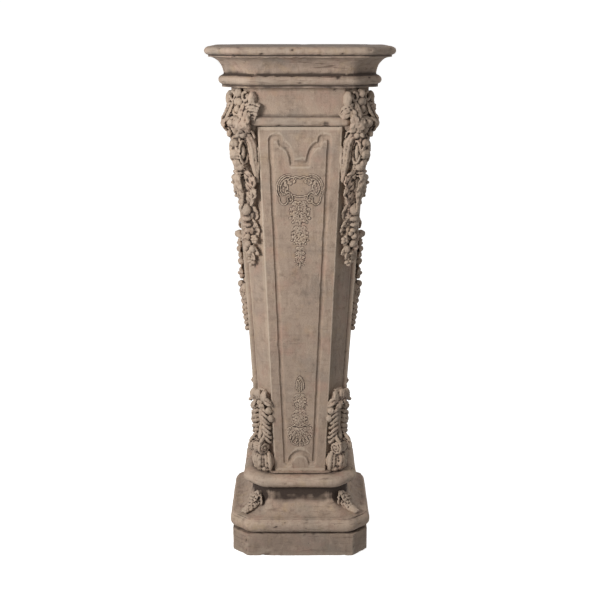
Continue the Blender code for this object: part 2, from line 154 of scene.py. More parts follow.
# The room, and the view of the photograph
FLOOR_SIZE = 60
DOME_RADIUS = 28
CAMERA_PLACE = (0, -2.572, 1.208)
CAMERA_PITCH = 13.68
CAMERA_LENS = 67.02
CAMERA_FILM = 36
AIR_LIGHT = 0.24
PAPER_GLOW = 0.80


# Tools of the bench

def only(*pieces):
    """Select these pieces and nothing else."""
    bpy.ops.object.select_all(action="DESELECT")
    for piece in pieces:
        piece.select_set(True)
    bpy.context.view_layer.objects.active = pieces[0]


def apply_step(piece, kind, **settings):
    """Add a modifier with its settings and apply it."""
    only(piece)
    step = piece.modifiers.new(kind.lower(), kind)
    for name, value in settings.items():
        setattr(step, name, value)
    bpy.ops.object.modifier_apply(modifier=step.name)


def read(rows, name, width, kind=float):
    """One property of every row of a mesh, as an array of the given width."""
    flat = np.empty(len(rows) * width, kind)
    rows.foreach_get(name, flat)
    return flat.reshape(-1, width)


def points_of(piece):
    """The piece's points as rows of x, y, z."""
    return read(piece.data.vertices, "co", 3)


def move_points(piece, points):
    piece.data.vertices.foreach_set("co", np.ascontiguousarray(points, float).ravel())
    piece.data.update()


def normals_of(piece):
    return read(piece.data.vertex_normals, "vector", 3)


def new_piece(name, mesh):
    """A piece, in place as it is, from a finished mesh."""
    mesh.name = name
    piece = bpy.data.objects.new(name, mesh)
    bpy.context.collection.objects.link(piece)
    return piece


def board_of(name, points, faces):
    """A piece from its points and faces."""
    mesh = bpy.data.meshes.new(name)
    mesh.from_pydata(points, [], faces)
    return new_piece(name, mesh)


def around(count):
    """Each place on a closed ring with the place after it."""
    return [(index, (index + 1) % count) for index in range(count)]


def along(points, share):
    """Places on a smooth line through the points, at shares of the way from 0 to 1."""
    knots = np.array(points, float)
    last = len(knots) - 1
    place = np.clip(share, 0, 1) * last
    start = np.minimum(place.astype(int), last - 1)
    part = (place - start)[:, None]
    before = knots[np.maximum(start - 1, 0)]
    here = knots[start]
    after = knots[start + 1]
    beyond = knots[np.minimum(start + 2, last)]
    bend = 2 * before - 5 * here + 4 * after - beyond
    twist = 3 * here - before - 3 * after + beyond
    return 0.5 * (2 * here + (after - before) * part + bend * part ** 2 + twist * part ** 3)


def rounded(gap):
    """A rounded rise: 1 in the middle and 0 from a gap of 1 outwards."""
    return np.sqrt(np.clip(1 - gap ** 2, 0, 1))


def graded(values, share):
    """Widths given at even steps, read at any share of the way."""
    return np.interp(share, np.linspace(0, 1, len(values)), values)


def join_parts(name, parts):
    only(*parts)
    bpy.ops.object.join()
    piece = bpy.context.object
    piece.name = name
    piece.data.name = name
    return piece


def turned(piece, name, degrees):
    """A copy with its own mesh, turned about the pedestal's axis."""
    copy = new_piece(name, piece.data.copy())
    copy.data.transform(Matrix.Rotation(math.radians(degrees), 4, "Z"))
    return copy


def rough(points, size, seed):
    """Noise between about -1 and 1 at each point, with lumps of the given size."""
    shift = Vector((seed * 3.7, seed * 1.3, seed * 2.1))
    return np.array([noise.noise(Vector(point) / size + shift) for point in points])


def neighbour_mean(values, ends, count):
    """Each point's value averaged over the points it is joined to."""
    result = np.empty_like(values)
    for axis in range(values.shape[1]):
        column = values[:, axis]
        total = np.bincount(ends[:, 0], column[ends[:, 1]], len(column))
        total += np.bincount(ends[:, 1], column[ends[:, 0]], len(column))
        result[:, axis] = total / count
    return result


def hollowness(piece, rounds):
    """How far each point lies below the surface smoothed around it, in metres."""
    ends = read(piece.data.edges, "vertices", 2, int)
    points = points_of(piece)
    count = np.maximum(np.bincount(ends.ravel(), minlength=len(points)), 1)
    smooth = points
    for _ in range(rounds):
        smooth = neighbour_mean(smooth, ends, count)
    return np.sum((smooth - points) * normals_of(piece), axis=1)


def weather(piece, seed, sway=0.0004, chip=0.0012):
    """Undulate the skin as cast stone does, and chip its arrises."""
    points = points_of(piece)
    normals = normals_of(piece)
    arris = np.clip(-hollowness(piece, 2) / ARRIS_RISE, 0, 1)
    lumps = rough(points, WIDE_SWELL, seed) * sway + rough(points, SMALL_SWELL, seed + 5) * sway * 0.4
    bites = np.clip(rough(points, CHIP_WIDTH, seed + 9) * 2.2 - 0.7, 0, 1) * arris * chip
    move_points(piece, points + normals * (lumps - bites)[:, None])


def mark_hollows(piece, rounds=10, depth=0.0012, shares=None, worn=1.0):
    """Keep the hollows (+) and the arrises (-, down to worn) for the stone to read: it paints shade, with
    some soot, into the hollows and wears the arrises pale.
    """
    fine = hollowness(piece, 3) / (depth * 0.3)
    wide = hollowness(piece, rounds) / depth
    values = np.clip(fine * 0.4 + wide * 0.6, -worn, 1)
    if shares is not None:
        values[:len(shares)] *= shares
    attribute = piece.data.attributes.new("hollow", "FLOAT", "POINT")
    attribute.data.foreach_set("value", values.astype(np.float32))


def deepen(piece, rounds, gain, limit=0.0022):
    """Cut the hollows deeper and leave the ridges prouder, as a chisel does."""
    points = points_of(piece)
    sunk = np.clip(hollowness(piece, rounds), -limit, limit)
    move_points(piece, points - normals_of(piece) * (sunk * gain)[:, None])


# Walls that carry the carving

def taper(foot, head, height):
    return foot + (head - foot) * (height - SHAFT_FOOT) / SLAB_HEIGHT


def slab_face(height):
    return taper(SHAFT_FOOT_HALF, SHAFT_HEAD_HALF, height)


def slab_half_width(height):
    return taper(SLAB_FOOT_WIDTH, SLAB_HEAD_WIDTH, height) / 2


def strip_face(height):
    core = slab_face(height) - SLAB_PROUD
    return (core + slab_half_width(height) - STRIP_TUCK) * ROOT_HALF + STRIP_BULGE


def corner_wall(height):
    """The corner strip up to the half-round, and the frieze's cut corner over it."""
    frieze = (2 * FRIEZE_HALF - FRIEZE_CUT) * ROOT_HALF
    over = np.clip((height - SLAB_TOP + 0.012) / 0.02, 0, 1)
    return strip_face(height) * (1 - over) + frieze * over


def from_axis(height):
    """No wall at all: lifts are then distances from the pedestal's axis."""
    return 0 * height


def seat(piece, points, wall):
    """Set (across, lift, height) points in millimetres on a wall that faces the front."""
    across, lift, height = (points * MM).T
    move_points(piece, np.column_stack((across, -(wall(height) + lift), height)))


# The carver's forms. Each is written down first and made later, on the wall that carries it.

def form(maker):
    """Turn a maker of one piece on a wall into a form whose wall is given later."""
    return lambda *shape, **settings: lambda wall: [maker(wall, *shape, **settings)]


def together(forms, wall):
    """All pieces of these forms, made in order on a wall."""
    return [piece for make in forms for piece in make(wall)]


def frame_along(path, share, across):
    """Middle line, side and outward normal at shares of a path."""
    middle = along(path, share)
    run = along(path, share + 0.02) - along(path, share - 0.02)
    run /= np.linalg.norm(run, axis=1)[:, None] + 1e-9
    way = np.array(across, float)
    side = way - run * (run @ way)[:, None]
    side /= np.linalg.norm(side, axis=1)[:, None] + 1e-9
    out = np.cross(run, side)
    lead = out[np.argmin(share)]
    if lead[1] < 0:
        out = -out
    return middle, side, out


@form
def leaf(wall, path, widths, across=(1, 0, 0), lobes=0, notch=0.3, vein=0.0, ribs=0, rib=0.10,
         arch=0.25, thick=3.0, steps=(30, 14)):
    """A leaf, petal, shell or scroll band laid along a path.

    Lobes notch its edge and veins run out to them; ribs run lengthwise and scallop its end.
    """
    bpy.ops.mesh.primitive_grid_add(x_subdivisions=steps[0], y_subdivisions=steps[1], size=2)
    piece = bpy.context.object
    flat = points_of(piece)
    share = (flat[:, 0] + 1) / 2
    edge = flat[:, 1]
    wide = graded(widths, share)
    height = arch * wide * (1 - edge ** 2)
    if lobes:
        beat = lobes * share - 0.4 * np.abs(edge)
        outline = 1 - notch + notch * np.abs(np.sin(np.pi * (lobes * share - 0.4))) ** 0.6
        wide = wide * (1 + (outline - 1) * np.abs(edge))
        height += vein * graded(widths, share) * np.cos(2 * np.pi * (beat - 0.5)) * np.abs(edge) ** 0.6
        height -= vein * graded(widths, share) * 1.2 * np.exp(-(edge / 0.13) ** 2)
    if ribs:
        flute = np.abs(np.sin(np.pi * ribs * (edge + 1) / 2))
        height += rib * graded(widths, share) * flute * np.clip(share * 3, 0, 1)
        share = share - 0.10 * (1 - flute) * share ** 3
    middle, side, out = frame_along(path, share, across)
    points = middle + side * (edge * wide)[:, None] + out * height[:, None]
    seat(piece, points, wall)
    apply_step(piece, "SOLIDIFY", thickness=thick * MM, offset=0.0)
    return piece


@form
def roll(wall, path, radii, across=(1, 0, 0), flutes=0, flute=0.12, segments=14, rings=18):
    """A stem, curl or long bud: a round body that follows a path."""
    bpy.ops.mesh.primitive_uv_sphere_add(segments=segments, ring_count=rings, radius=1)
    piece = bpy.context.object
    ball = points_of(piece)
    share = (1 - ball[:, 2]) / 2
    turn = np.arctan2(ball[:, 1], ball[:, 0])
    body = np.hypot(ball[:, 0], ball[:, 1]) ** 0.6
    thickness = graded(radii, share) * body
    if flutes:
        thickness = thickness * (1 - flute + flute * np.abs(np.cos(flutes * turn / 2)))
    middle, side, out = frame_along(path, share, across)
    points = middle + side * (thickness * np.cos(turn))[:, None] + out * (thickness * np.sin(turn))[:, None]
    seat(piece, points, wall)
    return piece


@form
def fruit(wall, centre, radii, lean=0.0, tip=0.0, flutes=0, flute=0.1, segments=18, rings=12):
    """A fruit, bud or boss: an ellipsoid with its radii across, out and up, leant across by degrees."""
    bpy.ops.mesh.primitive_uv_sphere_add(segments=segments, ring_count=rings, radius=1)
    piece = bpy.context.object
    ball = points_of(piece)
    if flutes:
        turn = np.arctan2(ball[:, 1], ball[:, 0])
        ball[:, :2] *= (1 - flute + flute * np.abs(np.cos(flutes * turn / 2)))[:, None]
    ball = ball * np.array(radii, float)
    if tip:
        turn = math.radians(tip)
        out, up = ball[:, 1].copy(), ball[:, 2].copy()
        ball[:, 1] = out * math.cos(turn) - up * math.sin(turn)
        ball[:, 2] = out * math.sin(turn) + up * math.cos(turn)
    turn = math.radians(lean)
    side, up = ball[:, 0].copy(), ball[:, 2].copy()
    ball[:, 0] = side * math.cos(turn) + up * math.sin(turn)
    ball[:, 2] = -side * math.sin(turn) + up * math.cos(turn)
    seat(piece, ball + np.array(centre, float), wall)
    return piece


def flower(centre, radius, petals=5, start=0.0, eye=0.34):
    """An open flower: round petals about a small eye."""
    across, lift, height = centre
    parts = []
    for number in range(petals):
        turn = start + 360 * number / petals
        off = math.radians(turn)
        place = (across + radius * 0.58 * math.sin(off), lift, height + radius * 0.58 * math.cos(off))
        parts.append(fruit(place, (radius * 0.36, radius * 0.42, radius * 0.46), lean=turn))
    parts.append(fruit((across, lift + radius * 0.34, height), (radius * eye,) * 3))
    return lambda wall: together(parts, wall)


@form
def board(wall, outline, half_width):
    """An outline of (lift, height) points, sawn out as thick as twice the half width."""
    count = len(outline)
    rows = [(across, lift, height) for across in (-half_width, half_width) for lift, height in outline]
    faces = [tuple(range(count)), tuple(range(2 * count - 1, count - 1, -1))]
    faces += [(index, index + count, after + count, after) for index, after in around(count)]
    piece = board_of("board", rows, faces)
    seat(piece, np.array(rows, float), wall)
    return piece


def both(maker, path, *rest, **settings):
    """The same form on both sides of the middle line."""
    def flip(place):
        return (-place[0], *place[1:])

    other = flip(path) if isinstance(path[0], (int, float)) else [flip(place) for place in path]
    turned_over = {**settings, "across": flip(settings["across"])} if "across" in settings else settings
    pair = (maker(path, *rest, **settings), maker(other, *rest, **turned_over))
    return lambda wall: together(pair, wall)


def carve(name, wall, forms, keep, seed):
    """Grow the joined forms into one skin, as if cut from one stone, and weather it.

    Keep is the share of its faces that is kept.
    """
    piece = join_parts(name, together(forms, wall))
    apply_step(piece, "REMESH", mode="VOXEL", voxel_size=CARVING_GRAIN)
    apply_step(piece, "SMOOTH", factor=0.5, iterations=1)
    points = points_of(piece)
    ruffle = rough(points, 0.008, seed + 2) * 0.0007 + rough(points, 0.0040, seed + 3) * 0.0005
    move_points(piece, points + normals_of(piece) * ruffle[:, None])
    deepen(piece, 12, 0.60)
    apply_step(piece, "DECIMATE", ratio=keep)
    weather(piece, seed, sway=0.0003, chip=0.0006)
    # The hollow mark lets the stone paint shade, with some soot, into the carving's hollows
    mark_hollows(piece, rounds=26, depth=0.0010, worn=0.5)
    only(piece)
    bpy.ops.object.shade_smooth()
    return piece


# The turned-up mouldings

def arc(centre, reach, rise, start, end, steps):
    """Points (half width, height) on part of an ellipse, angles in degrees from straight out."""
    turns = [math.radians(start + (end - start) * step / steps) for step in range(steps + 1)]
    return [(centre[0] + reach * math.cos(turn), centre[1] + rise * math.sin(turn)) for turn in turns]


def upright(half, low, high, step):
    """A plain vertical stretch of a profile, in even steps above its low end."""
    count = max(int(round((high - low) / step)), 1)
    return [(half, low + (high - low) * number / count) for number in range(1, count + 1)]


def bevel_uprights(piece, tall, width, segments):
    """Bevel the upright edges of a block that is open for editing."""
    bpy.ops.mesh.select_mode(type="EDGE")
    bpy.ops.mesh.select_all(action="DESELECT")
    mesh = bmesh.from_edit_mesh(piece.data)
    for edge in mesh.edges:
        if abs(edge.verts[0].co.z - edge.verts[1].co.z) > tall / 2:
            edge.select_set(True)
    mesh.select_flush_mode()
    bpy.ops.mesh.bevel(offset=width, offset_type="OFFSET", segments=segments, affect="EDGES")


def moulded_block(name, profile, cut, softened, slice_step):
    """A block with cut corners, run up a profile of (half width, height) and sliced for weathering."""
    half, foot = profile[0]
    second = profile[1]
    tall = second[1] - foot
    bpy.ops.object.select_all(action="DESELECT")
    bpy.ops.mesh.primitive_cube_add(size=1, location=(0, 0, foot + tall / 2),
                                    scale=(2 * half, 2 * half, tall))
    piece = bpy.context.object
    piece.name = name
    piece.data.name = name
    bpy.ops.object.transform_apply()
    bpy.ops.object.mode_set(mode="EDIT")
    bevel_uprights(piece, tall, cut, 1)
    bevel_uprights(piece, tall, softened, 3)
    bpy.ops.mesh.select_mode(type="FACE")
    bpy.ops.mesh.select_all(action="DESELECT")
    mesh = bmesh.from_edit_mesh(piece.data)
    top = max(mesh.faces, key=lambda face: face.calc_center_median().z)
    top.select_set(True)
    bmesh.update_edit_mesh(piece.data)

    def step_out(distance):
        shaped = bmesh.from_edit_mesh(piece.data)
        for vertex in shaped.verts:
            if vertex.select:
                vertex.co.x += distance * math.copysign(1, vertex.co.x)
                vertex.co.y += distance * math.copysign(1, vertex.co.y)
        bmesh.update_edit_mesh(piece.data)

    step_out(second[0] - half)
    for (before, low), (after, high) in zip(profile[1:], profile[2:]):
        bpy.ops.mesh.extrude_region_move(TRANSFORM_OT_translate={"value": (0, 0, high - low)})
        step_out(after - before)
    bpy.ops.object.mode_set(mode="OBJECT")
    slice_up(piece, slice_step)
    return piece


def slice_up(piece, step):
    """Cut a piece by upright planes both ways, so that its skin can move between them."""
    only(piece)
    bpy.ops.object.mode_set(mode="EDIT")
    reach = max(max(corner) for corner in piece.bound_box)
    count = int(2 * reach / step)
    for way in ((1, 0, 0), (0, 1, 0)):
        for number in range(1, count):
            place = -reach + 2 * reach * number / count
            bpy.ops.mesh.select_all(action="SELECT")
            bpy.ops.mesh.bisect(plane_co=Vector(way) * place, plane_no=way, threshold=1e-6)
    bpy.ops.object.mode_set(mode="OBJECT")


def dress_block(piece, seed, sway, chip, shade_and_joint_courses=(), corner_shade_courses=()):
    """Weather a block within its own box and shade it.

    Darker courses of (height, reach below, reach above, strength) lie all round or on the cut corners:
    painted shade under mouldings and in creases, with dirt in the joints; a negative strength paints the
    stone paler.
    """
    points = points_of(piece)
    low = points.min(axis=0)
    high = points.max(axis=0)
    weather(piece, seed, sway, chip)
    points = np.clip(points_of(piece), low, high)
    move_points(piece, points)
    # The hollow mark, raised by the courses below, is where the stone paints shade
    mark_hollows(piece, rounds=2, depth=0.0020, worn=0.4)
    hollow = piece.data.attributes["hollow"].data
    values = read(hollow, "value", 1)[:, 0]
    patches = 0.75 + 0.5 * rough(points, SHADE_AND_DIRT_PATCH, seed)
    sides = np.sort(np.abs(points[:, :2]), axis=1)
    on_corner = np.clip((sides[:, 0] / sides[:, 1].clip(0.001) - 0.68) / 0.06, 0, 1)
    for courses, where in ((shade_and_joint_courses, 1), (corner_shade_courses, on_corner)):
        for height, below, above, strength in courses:
            away = points[:, 2] - height
            nearness = np.clip(1 - np.where(away < 0, -away / below, away / above), 0, 1)
            values += nearness * strength * patches * where
    hollow.foreach_set("value", np.clip(values, -1, 1).astype(np.float32))
    only(piece)
    bpy.ops.object.shade_smooth_by_angle(angle=BLOCK_ARRIS)
    return piece


def knock(piece, place, reach, depth):
    """One larger chip, broken out at a place."""
    points = points_of(piece)
    near = np.clip(1 - np.linalg.norm((points - np.array(place)) / np.array(reach), axis=1), 0, 1)
    move_points(piece, points - normals_of(piece) * (np.sqrt(near) * depth)[:, None])


def plinth_block():
    worn = PLINTH_WORN_FOOT
    head = worn / 2
    profile = arc((PLINTH_HALF - worn, worn), worn, worn, -90, 0, 4)
    profile += [(PLINTH_HALF, PLINTH_HEIGHT * share) for share in (0.25, 0.4, 0.55, 0.7, 0.85)]
    profile += arc((PLINTH_HALF - head, PLINTH_HEIGHT - head), head, head, 0, 90, 3)
    piece = moulded_block("plinth_block_stone", profile, PLINTH_CUT, 0.003, BLOCK_STEP)
    # A darker band at the top joint: painted shade under the base's overhang, with dirt in the joint
    return dress_block(piece, 3, 0.0005, 0.0030, [(PLINTH_HEIGHT, 0.005, 0.005, 0.9)])


def base_profile():
    """Bed, lower torus, hollow flare, throat, upper torus and top fillet."""
    lower = LOWER_TORUS_HEIGHT / 2
    upper = UPPER_TORUS_HEIGHT / 2
    profile = [(BED_HALF, BASE_FOOT)]
    profile += arc((BED_HALF, BASE_FOOT + BED_HEIGHT + lower), LOWER_TORUS_HALF - BED_HALF, lower,
                   -90, 62, 12)
    profile += arc((FLARE_FOOT_HALF, THROAT_FOOT), THROAT_HALF - FLARE_FOOT_HALF, FLARE_HEIGHT, -90, 0, 12)
    profile += upright(THROAT_HALF, THROAT_FOOT, UPPER_TORUS_FOOT - 0.001, 0.004)
    profile += arc((THROAT_HALF, UPPER_TORUS_FOOT + upper), UPPER_TORUS_HALF - THROAT_HALF, upper,
                   -90, 75, 12)
    profile += [(BASE_FILLET_HALF, BASE_TOP - BASE_FILLET_HEIGHT), (BASE_FILLET_HALF, BASE_TOP)]
    return profile


def base():
    piece = moulded_block("base_stone", base_profile(), BASE_CUT, 0.009, BLOCK_STEP)
    # Painted shade: a dark joint at the foot, shade over the lower torus and its creases, deepest down the
    # throat under the upper torus where its shadow falls; a negative course takes the shade off the flare's
    # middle and paints it paler
    courses = [
        (BASE_FOOT, 0.008, 0.008, 1.3),
        (BASE_FOOT + 0.018, 0.018, 0.018, 0.35),
        (FLARE_FOOT, 0.003, 0.003, 0.35),
        (FLARE_FOOT + 0.012, 0.016, 0.018, -0.45),
        (UPPER_TORUS_FOOT, 0.035, 0.006, 2.2),
        (UPPER_TORUS_FOOT + UPPER_TORUS_HEIGHT, 0.003, 0.003, 0.6),
    ]
    # Painted shade on the flare's cut corners, behind the leaves
    return dress_block(piece, 7, 0.0006, 0.0020, courses, [(FLARE_FOOT + 0.015, 0.013, 0.050, 0.90)])


def cap():
    torus_foot = CAP_FOOT + CAP_FILLET_HEIGHT
    neck_foot = torus_foot + CAP_TORUS_HEIGHT
    cyma_top = neck_foot + CAP_NECK_HEIGHT + CYMA_HEIGHT
    roll_foot = cyma_top + CAP_BAND_HEIGHT
    torus_middle = (CAP_NECK_HALF + 0.002, torus_foot + CAP_TORUS_HEIGHT / 2)
    profile = [(CAP_FILLET_HALF, CAP_FOOT), (CAP_FILLET_HALF, torus_foot)]
    profile += arc(torus_middle, CAP_TORUS_HALF - CAP_NECK_HALF - 0.002, CAP_TORUS_HEIGHT / 2, -70, 80, 10)
    profile += arc((CYMA_HALF, neck_foot), CAP_NECK_HALF - CYMA_HALF, cyma_top - neck_foot, 4, 90, 14)
    profile += [(CYMA_HALF, roll_foot - 0.0005)]
    roll_middle = (CYMA_HALF - 0.002, roll_foot + EDGE_ROLL_HEIGHT / 2)
    profile += arc(roll_middle, CAP_HALF - CYMA_HALF + 0.002, EDGE_ROLL_HEIGHT / 2, -72, 86, 12)
    piece = moulded_block("cap_stone", profile, CAP_CUT, 0.013, CAP_STEP)
    # Darker bands at the foot joint, at the neck over the torus, under the edge roll and on its top
    courses = [
        (CAP_FOOT, 0.005, 0.005, 1.0),
        (neck_foot, 0.004, 0.004, 1.1),
        (roll_foot, 0.004, 0.005, 1.2),
        (roll_foot + EDGE_ROLL_HEIGHT, 0.003, 0.003, 0.5),
    ]
    return dress_block(piece, 11, 0.0008, 0.0030, courses)


def frieze():
    middle = (FRIEZE_HALF, ASTRAGAL_FOOT + ASTRAGAL_HEIGHT / 2)
    profile = arc(middle, ASTRAGAL_ROLL, ASTRAGAL_HEIGHT / 2, -90, 80, 12)
    profile += upright(FRIEZE_HALF, FRIEZE_FOOT, SHAFT_TOP, 0.004)
    piece = moulded_block("frieze_stone", profile, FRIEZE_CUT, 0.003, BLOCK_STEP)
    knock(piece, (0.056, -FRIEZE_HALF - ASTRAGAL_ROLL, ASTRAGAL_FOOT + 0.005), (0.013, 0.013, 0.008), 0.0035)
    # Painted shade under the astragal and in the crease above it; a darker band at the joint under the cap
    courses = [
        (ASTRAGAL_FOOT, 0.004, 0.004, 0.8),
        (FRIEZE_FOOT, 0.003, 0.003, 0.5),
        (SHAFT_TOP, 0.005, 0.005, 0.9),
    ]
    return dress_block(piece, 13, 0.0005, 0.0018, courses)


def shaft_core():
    """The tapered core, whose corners are the rounded strips between the slabs."""
    rows = []
    for height in np.linspace(SHAFT_FOOT, ASTRAGAL_FOOT + HEAD_SUNK, CORE_ROWS):
        half = slab_face(height) - SLAB_PROUD
        flat = slab_half_width(height) - STRIP_TUCK
        ring = []
        for turn in range(4):
            turned_by = Matrix.Rotation(math.radians(90 * turn), 2)
            for share in np.arange(STRIP_STEPS + 1) / STRIP_STEPS:
                start = Vector((flat, -half))
                end = Vector((half, -flat))
                crown = STRIP_BULGE * (1 - abs(2 * share - 1) ** 2.6)
                ring.append(turned_by @ (start.lerp(end, share) + Vector((1, -1)) * ROOT_HALF * crown))
        rows.append([(point.x, point.y, height) for point in ring])
    count = len(rows[0])
    top = (len(rows) - 1) * count
    faces = [tuple(reversed(range(count)))]
    for low in range(0, top, count):
        high = low + count
        faces += [(low + index, low + after, high + after, high + index) for index, after in around(count)]
    faces.append(tuple(range(top, top + count)))
    piece = board_of("shaft_core_stone", [point for row in rows for point in row], faces)
    return dress_block(piece, 17, 0.0004, 0.0010)


# The slabs, with their grooves and low relief

def panel_line():
    """Middle line of the groove round the panel, as (across, height) points."""
    head = SLAB_TOP - PANEL_HEAD_DROP
    foot = SHAFT_FOOT + PANEL_FOOT_RISE
    head_half = slab_half_width(head) - PANEL_MARGIN
    foot_half = slab_half_width(foot) - PANEL_MARGIN
    right = [(foot_half, foot + 0.003), (head_half, head - 0.006), (head_half - 0.002, head - 0.001),
             (head_half - 0.007, head), (TAB_WIDTH / 2 + 0.002, head), (TAB_WIDTH / 2, head - 0.002)]
    shoulder = (TAB_WIDTH / 2 - 0.002, head - TAB_DEPTH * 0.25)
    tip = (TAB_TIP_WIDTH / 2, head - TAB_DEPTH)
    for step in range(13):
        turn = math.radians(90 * step / 12)
        right.append((tip[0] + (shoulder[0] - tip[0]) * (1 - math.sin(turn)),
                      tip[1] + (shoulder[1] - tip[1]) * math.cos(turn)))
    left = [(-across, up) for across, up in reversed(right)]
    arch = [(-foot_half + 0.003, foot)]
    for step in range(15):
        turn = math.radians(180 - 180 * step / 14)
        arch.append((ARCH_WIDTH / 2 * math.cos(turn), foot + ARCH_RISE * math.sin(turn)))
    arch.append((foot_half - 0.003, foot))
    return right + left + arch


def distance_to(line, across, up, closed=False):
    """Distance of each point to a broken line."""
    nearest = np.full(across.shape, np.inf)
    knots = list(line) + ([line[0]] if closed else [])
    for (x0, y0), (x1, y1) in zip(knots, knots[1:]):
        dx, dy = x1 - x0, y1 - y0
        span = max(dx * dx + dy * dy, 1e-12)
        share = np.clip(((across - x0) * dx + (up - y0) * dy) / span, 0, 1)
        nearest = np.minimum(nearest, np.hypot(across - x0 - share * dx, up - y0 - share * dy))
    return nearest


class Relief:
    """Low relief on a slab: forms raised in millimetres, with a cut line round each."""

    def __init__(self, across, up):
        self.across = across / MM
        self.up = up / MM
        self.raised = np.zeros(across.shape)
        self.cut = np.zeros(across.shape)

    def _add(self, shape, moat):
        """Raise a form and cut the moat round it, both in millimetres from the face."""
        self.raised = np.maximum(self.raised, shape)
        self.cut = np.minimum(self.cut, moat)

    def stroke(self, line, half, tall, moat=0.35):
        """A rounded thread along a smooth line."""
        smooth = [tuple(p) for p in along(line, np.linspace(0, 1, 6 * len(line)))]
        gap = distance_to(smooth, self.across, self.up) / half
        self._add(tall * rounded(gap), -moat * tall * 0.5 * np.exp(-((gap - 1.55) / 0.4) ** 2))

    def leaf(self, root, length, width, lean, tall, veins=4):
        """A pointed leaf from its root, leant from hanging straight down by degrees."""
        turn = math.radians(lean)
        side = self.across - root[0]
        drop = root[1] - self.up
        run = drop * math.cos(turn) + side * math.sin(turn)
        off = side * math.cos(turn) - drop * math.sin(turn)
        share = np.clip(run / length, 0, 1)
        half = width / 2 * np.sin(np.pi * share ** 0.8) ** 0.8 + 0.05
        inside = (run > 0) & (run < length)
        gap = np.where(inside, np.abs(off) / half, 9)
        ribbed = 1 - 0.45 * np.exp(-(off / (0.09 * width)) ** 2)
        ribbed *= 1 - 0.30 * (0.5 - 0.5 * np.cos(2 * np.pi * (veins * share - np.abs(off) / width * 2)))
        self._add(tall * rounded(gap) * ribbed, -0.22 * tall * np.exp(-((gap - 1.5) / 0.35) ** 2))

    def berry(self, centre, radius, tall):
        gap = np.hypot(self.across - centre[0], self.up - centre[1]) / radius
        self._add(tall * rounded(gap), -0.22 * tall * np.exp(-((gap - 1.35) / 0.25) ** 2))

    def drill(self, centre, radius, deep):
        gap = np.hypot(self.across - centre[0], self.up - centre[1]) / radius
        hole = np.clip(1.3 - gap, 0, 1)
        self.raised *= 1 - hole
        self.cut = np.minimum(self.cut, -deep * hole)

    def height(self):
        """The worn relief in metres: parts of it have crumbled away."""
        height = np.where(self.raised > 0.05, self.raised, self.cut)
        shown = np.nonzero(np.abs(height) > 0.02)
        spots = np.column_stack((self.across[shown], self.up[shown], np.zeros(len(shown[0]))))
        height[shown] *= np.clip(0.85 + 0.9 * rough(spots, 2.6, 4) + 0.5 * rough(spots, 7.0, 6), 0.1, 1.25)
        return height * MM


def mirrored(line):
    return [(-across, up) for across, up in line]


def cartouche(relief):
    """Paired ribbed scrolls under the panel's head."""
    hoop = [(-20, 897), (-30, 897), (-40, 892), (-48, 881), (-51, 868), (-50, 856), (-46, 848)]
    inner = [(-22, 893), (-30, 893), (-38, 888), (-44.5, 879), (-47, 868), (-46, 858)]
    third = [(-26, 888), (-33, 886), (-40, 878), (-42.5, 868), (-40, 858), (-33, 854), (-27, 858)]
    lip = [(-33, 878), (-28, 874), (-27, 868), (-31, 864)]
    brace = [(-38, 852), (-33, 857), (-24, 858), (-17, 851), (-16, 841), (-21, 835), (-27, 838),
             (-27, 846), (-22, 848)]
    sprig = [(-27, 884), (-22, 890), (-14, 891)]
    crown = [(-15, 886), (-11, 893), (-4, 892), (0, 889)]
    tail = [(-46, 848), (-44, 838), (-38, 831), (-31, 832), (-25, 840)]
    thread = [(-14, 852), (-6, 849), (0, 849)]
    for line in (hoop, inner, third, lip, brace, sprig, crown, tail, thread):
        for way in (line, mirrored(line)):
            relief.stroke(way, 1.25, 2.0)
    for side in (-1, 1):
        for across, up, lean in ((-35, 884, 40), (-36, 875, 70), (-22, 884, -30), (-17, 880, -60),
                                 (-11, 886, -20)):
            relief.leaf((side * across, up), 9, 5.5, side * lean, 2.0, 2)
        for across, up in ((-31, 861), (-27, 865), (-20, 842), (-9, 888), (-36, 868)):
            relief.berry((side * across, up), 1.9, 1.9)
        for across, up in ((-12.5, 845), (-24, 846), (-15, 889), (-30, 881)):
            relief.drill((side * across, up), 1.1, 1.4)


def husk_cluster(relief, top, wide, tall):
    """A hanging bunch of small leaves and berries, with drilled hollows between them."""
    relief.leaf((0, top), tall, wide * 0.26, 0, 2.5, 6)
    for side in (-1, 1):
        for tier, spread in ((0.04, 0.8), (0.24, 1.0), (0.44, 1.0), (0.62, 0.7)):
            for lean, length, off in ((14, 0.36, 0.05), (38, 0.42, 0.08), (64, 0.38, 0.10)):
                relief.leaf((side * wide * off, top - tall * tier), wide * length * spread, wide * 0.15,
                            side * lean, 2.3 - lean * 0.008, 3)
        for across, drop in ((0.26, 0.62), (0.38, 0.50), (0.42, 0.68), (0.18, 0.80), (0.30, 0.84),
                             (0.40, 0.32)):
            relief.berry((side * wide * across, top - tall * drop), wide * 0.050, 2.3)
        for across, drop in ((0.13, 0.14), (0.30, 0.40), (0.44, 0.44), (0.22, 0.66), (0.12, 0.52),
                             (0.37, 0.62), (0.24, 0.22), (0.12, 0.34), (0.10, 0.74), (0.20, 0.50)):
            relief.drill((side * wide * across, top - tall * drop), wide * 0.028, 1.8)


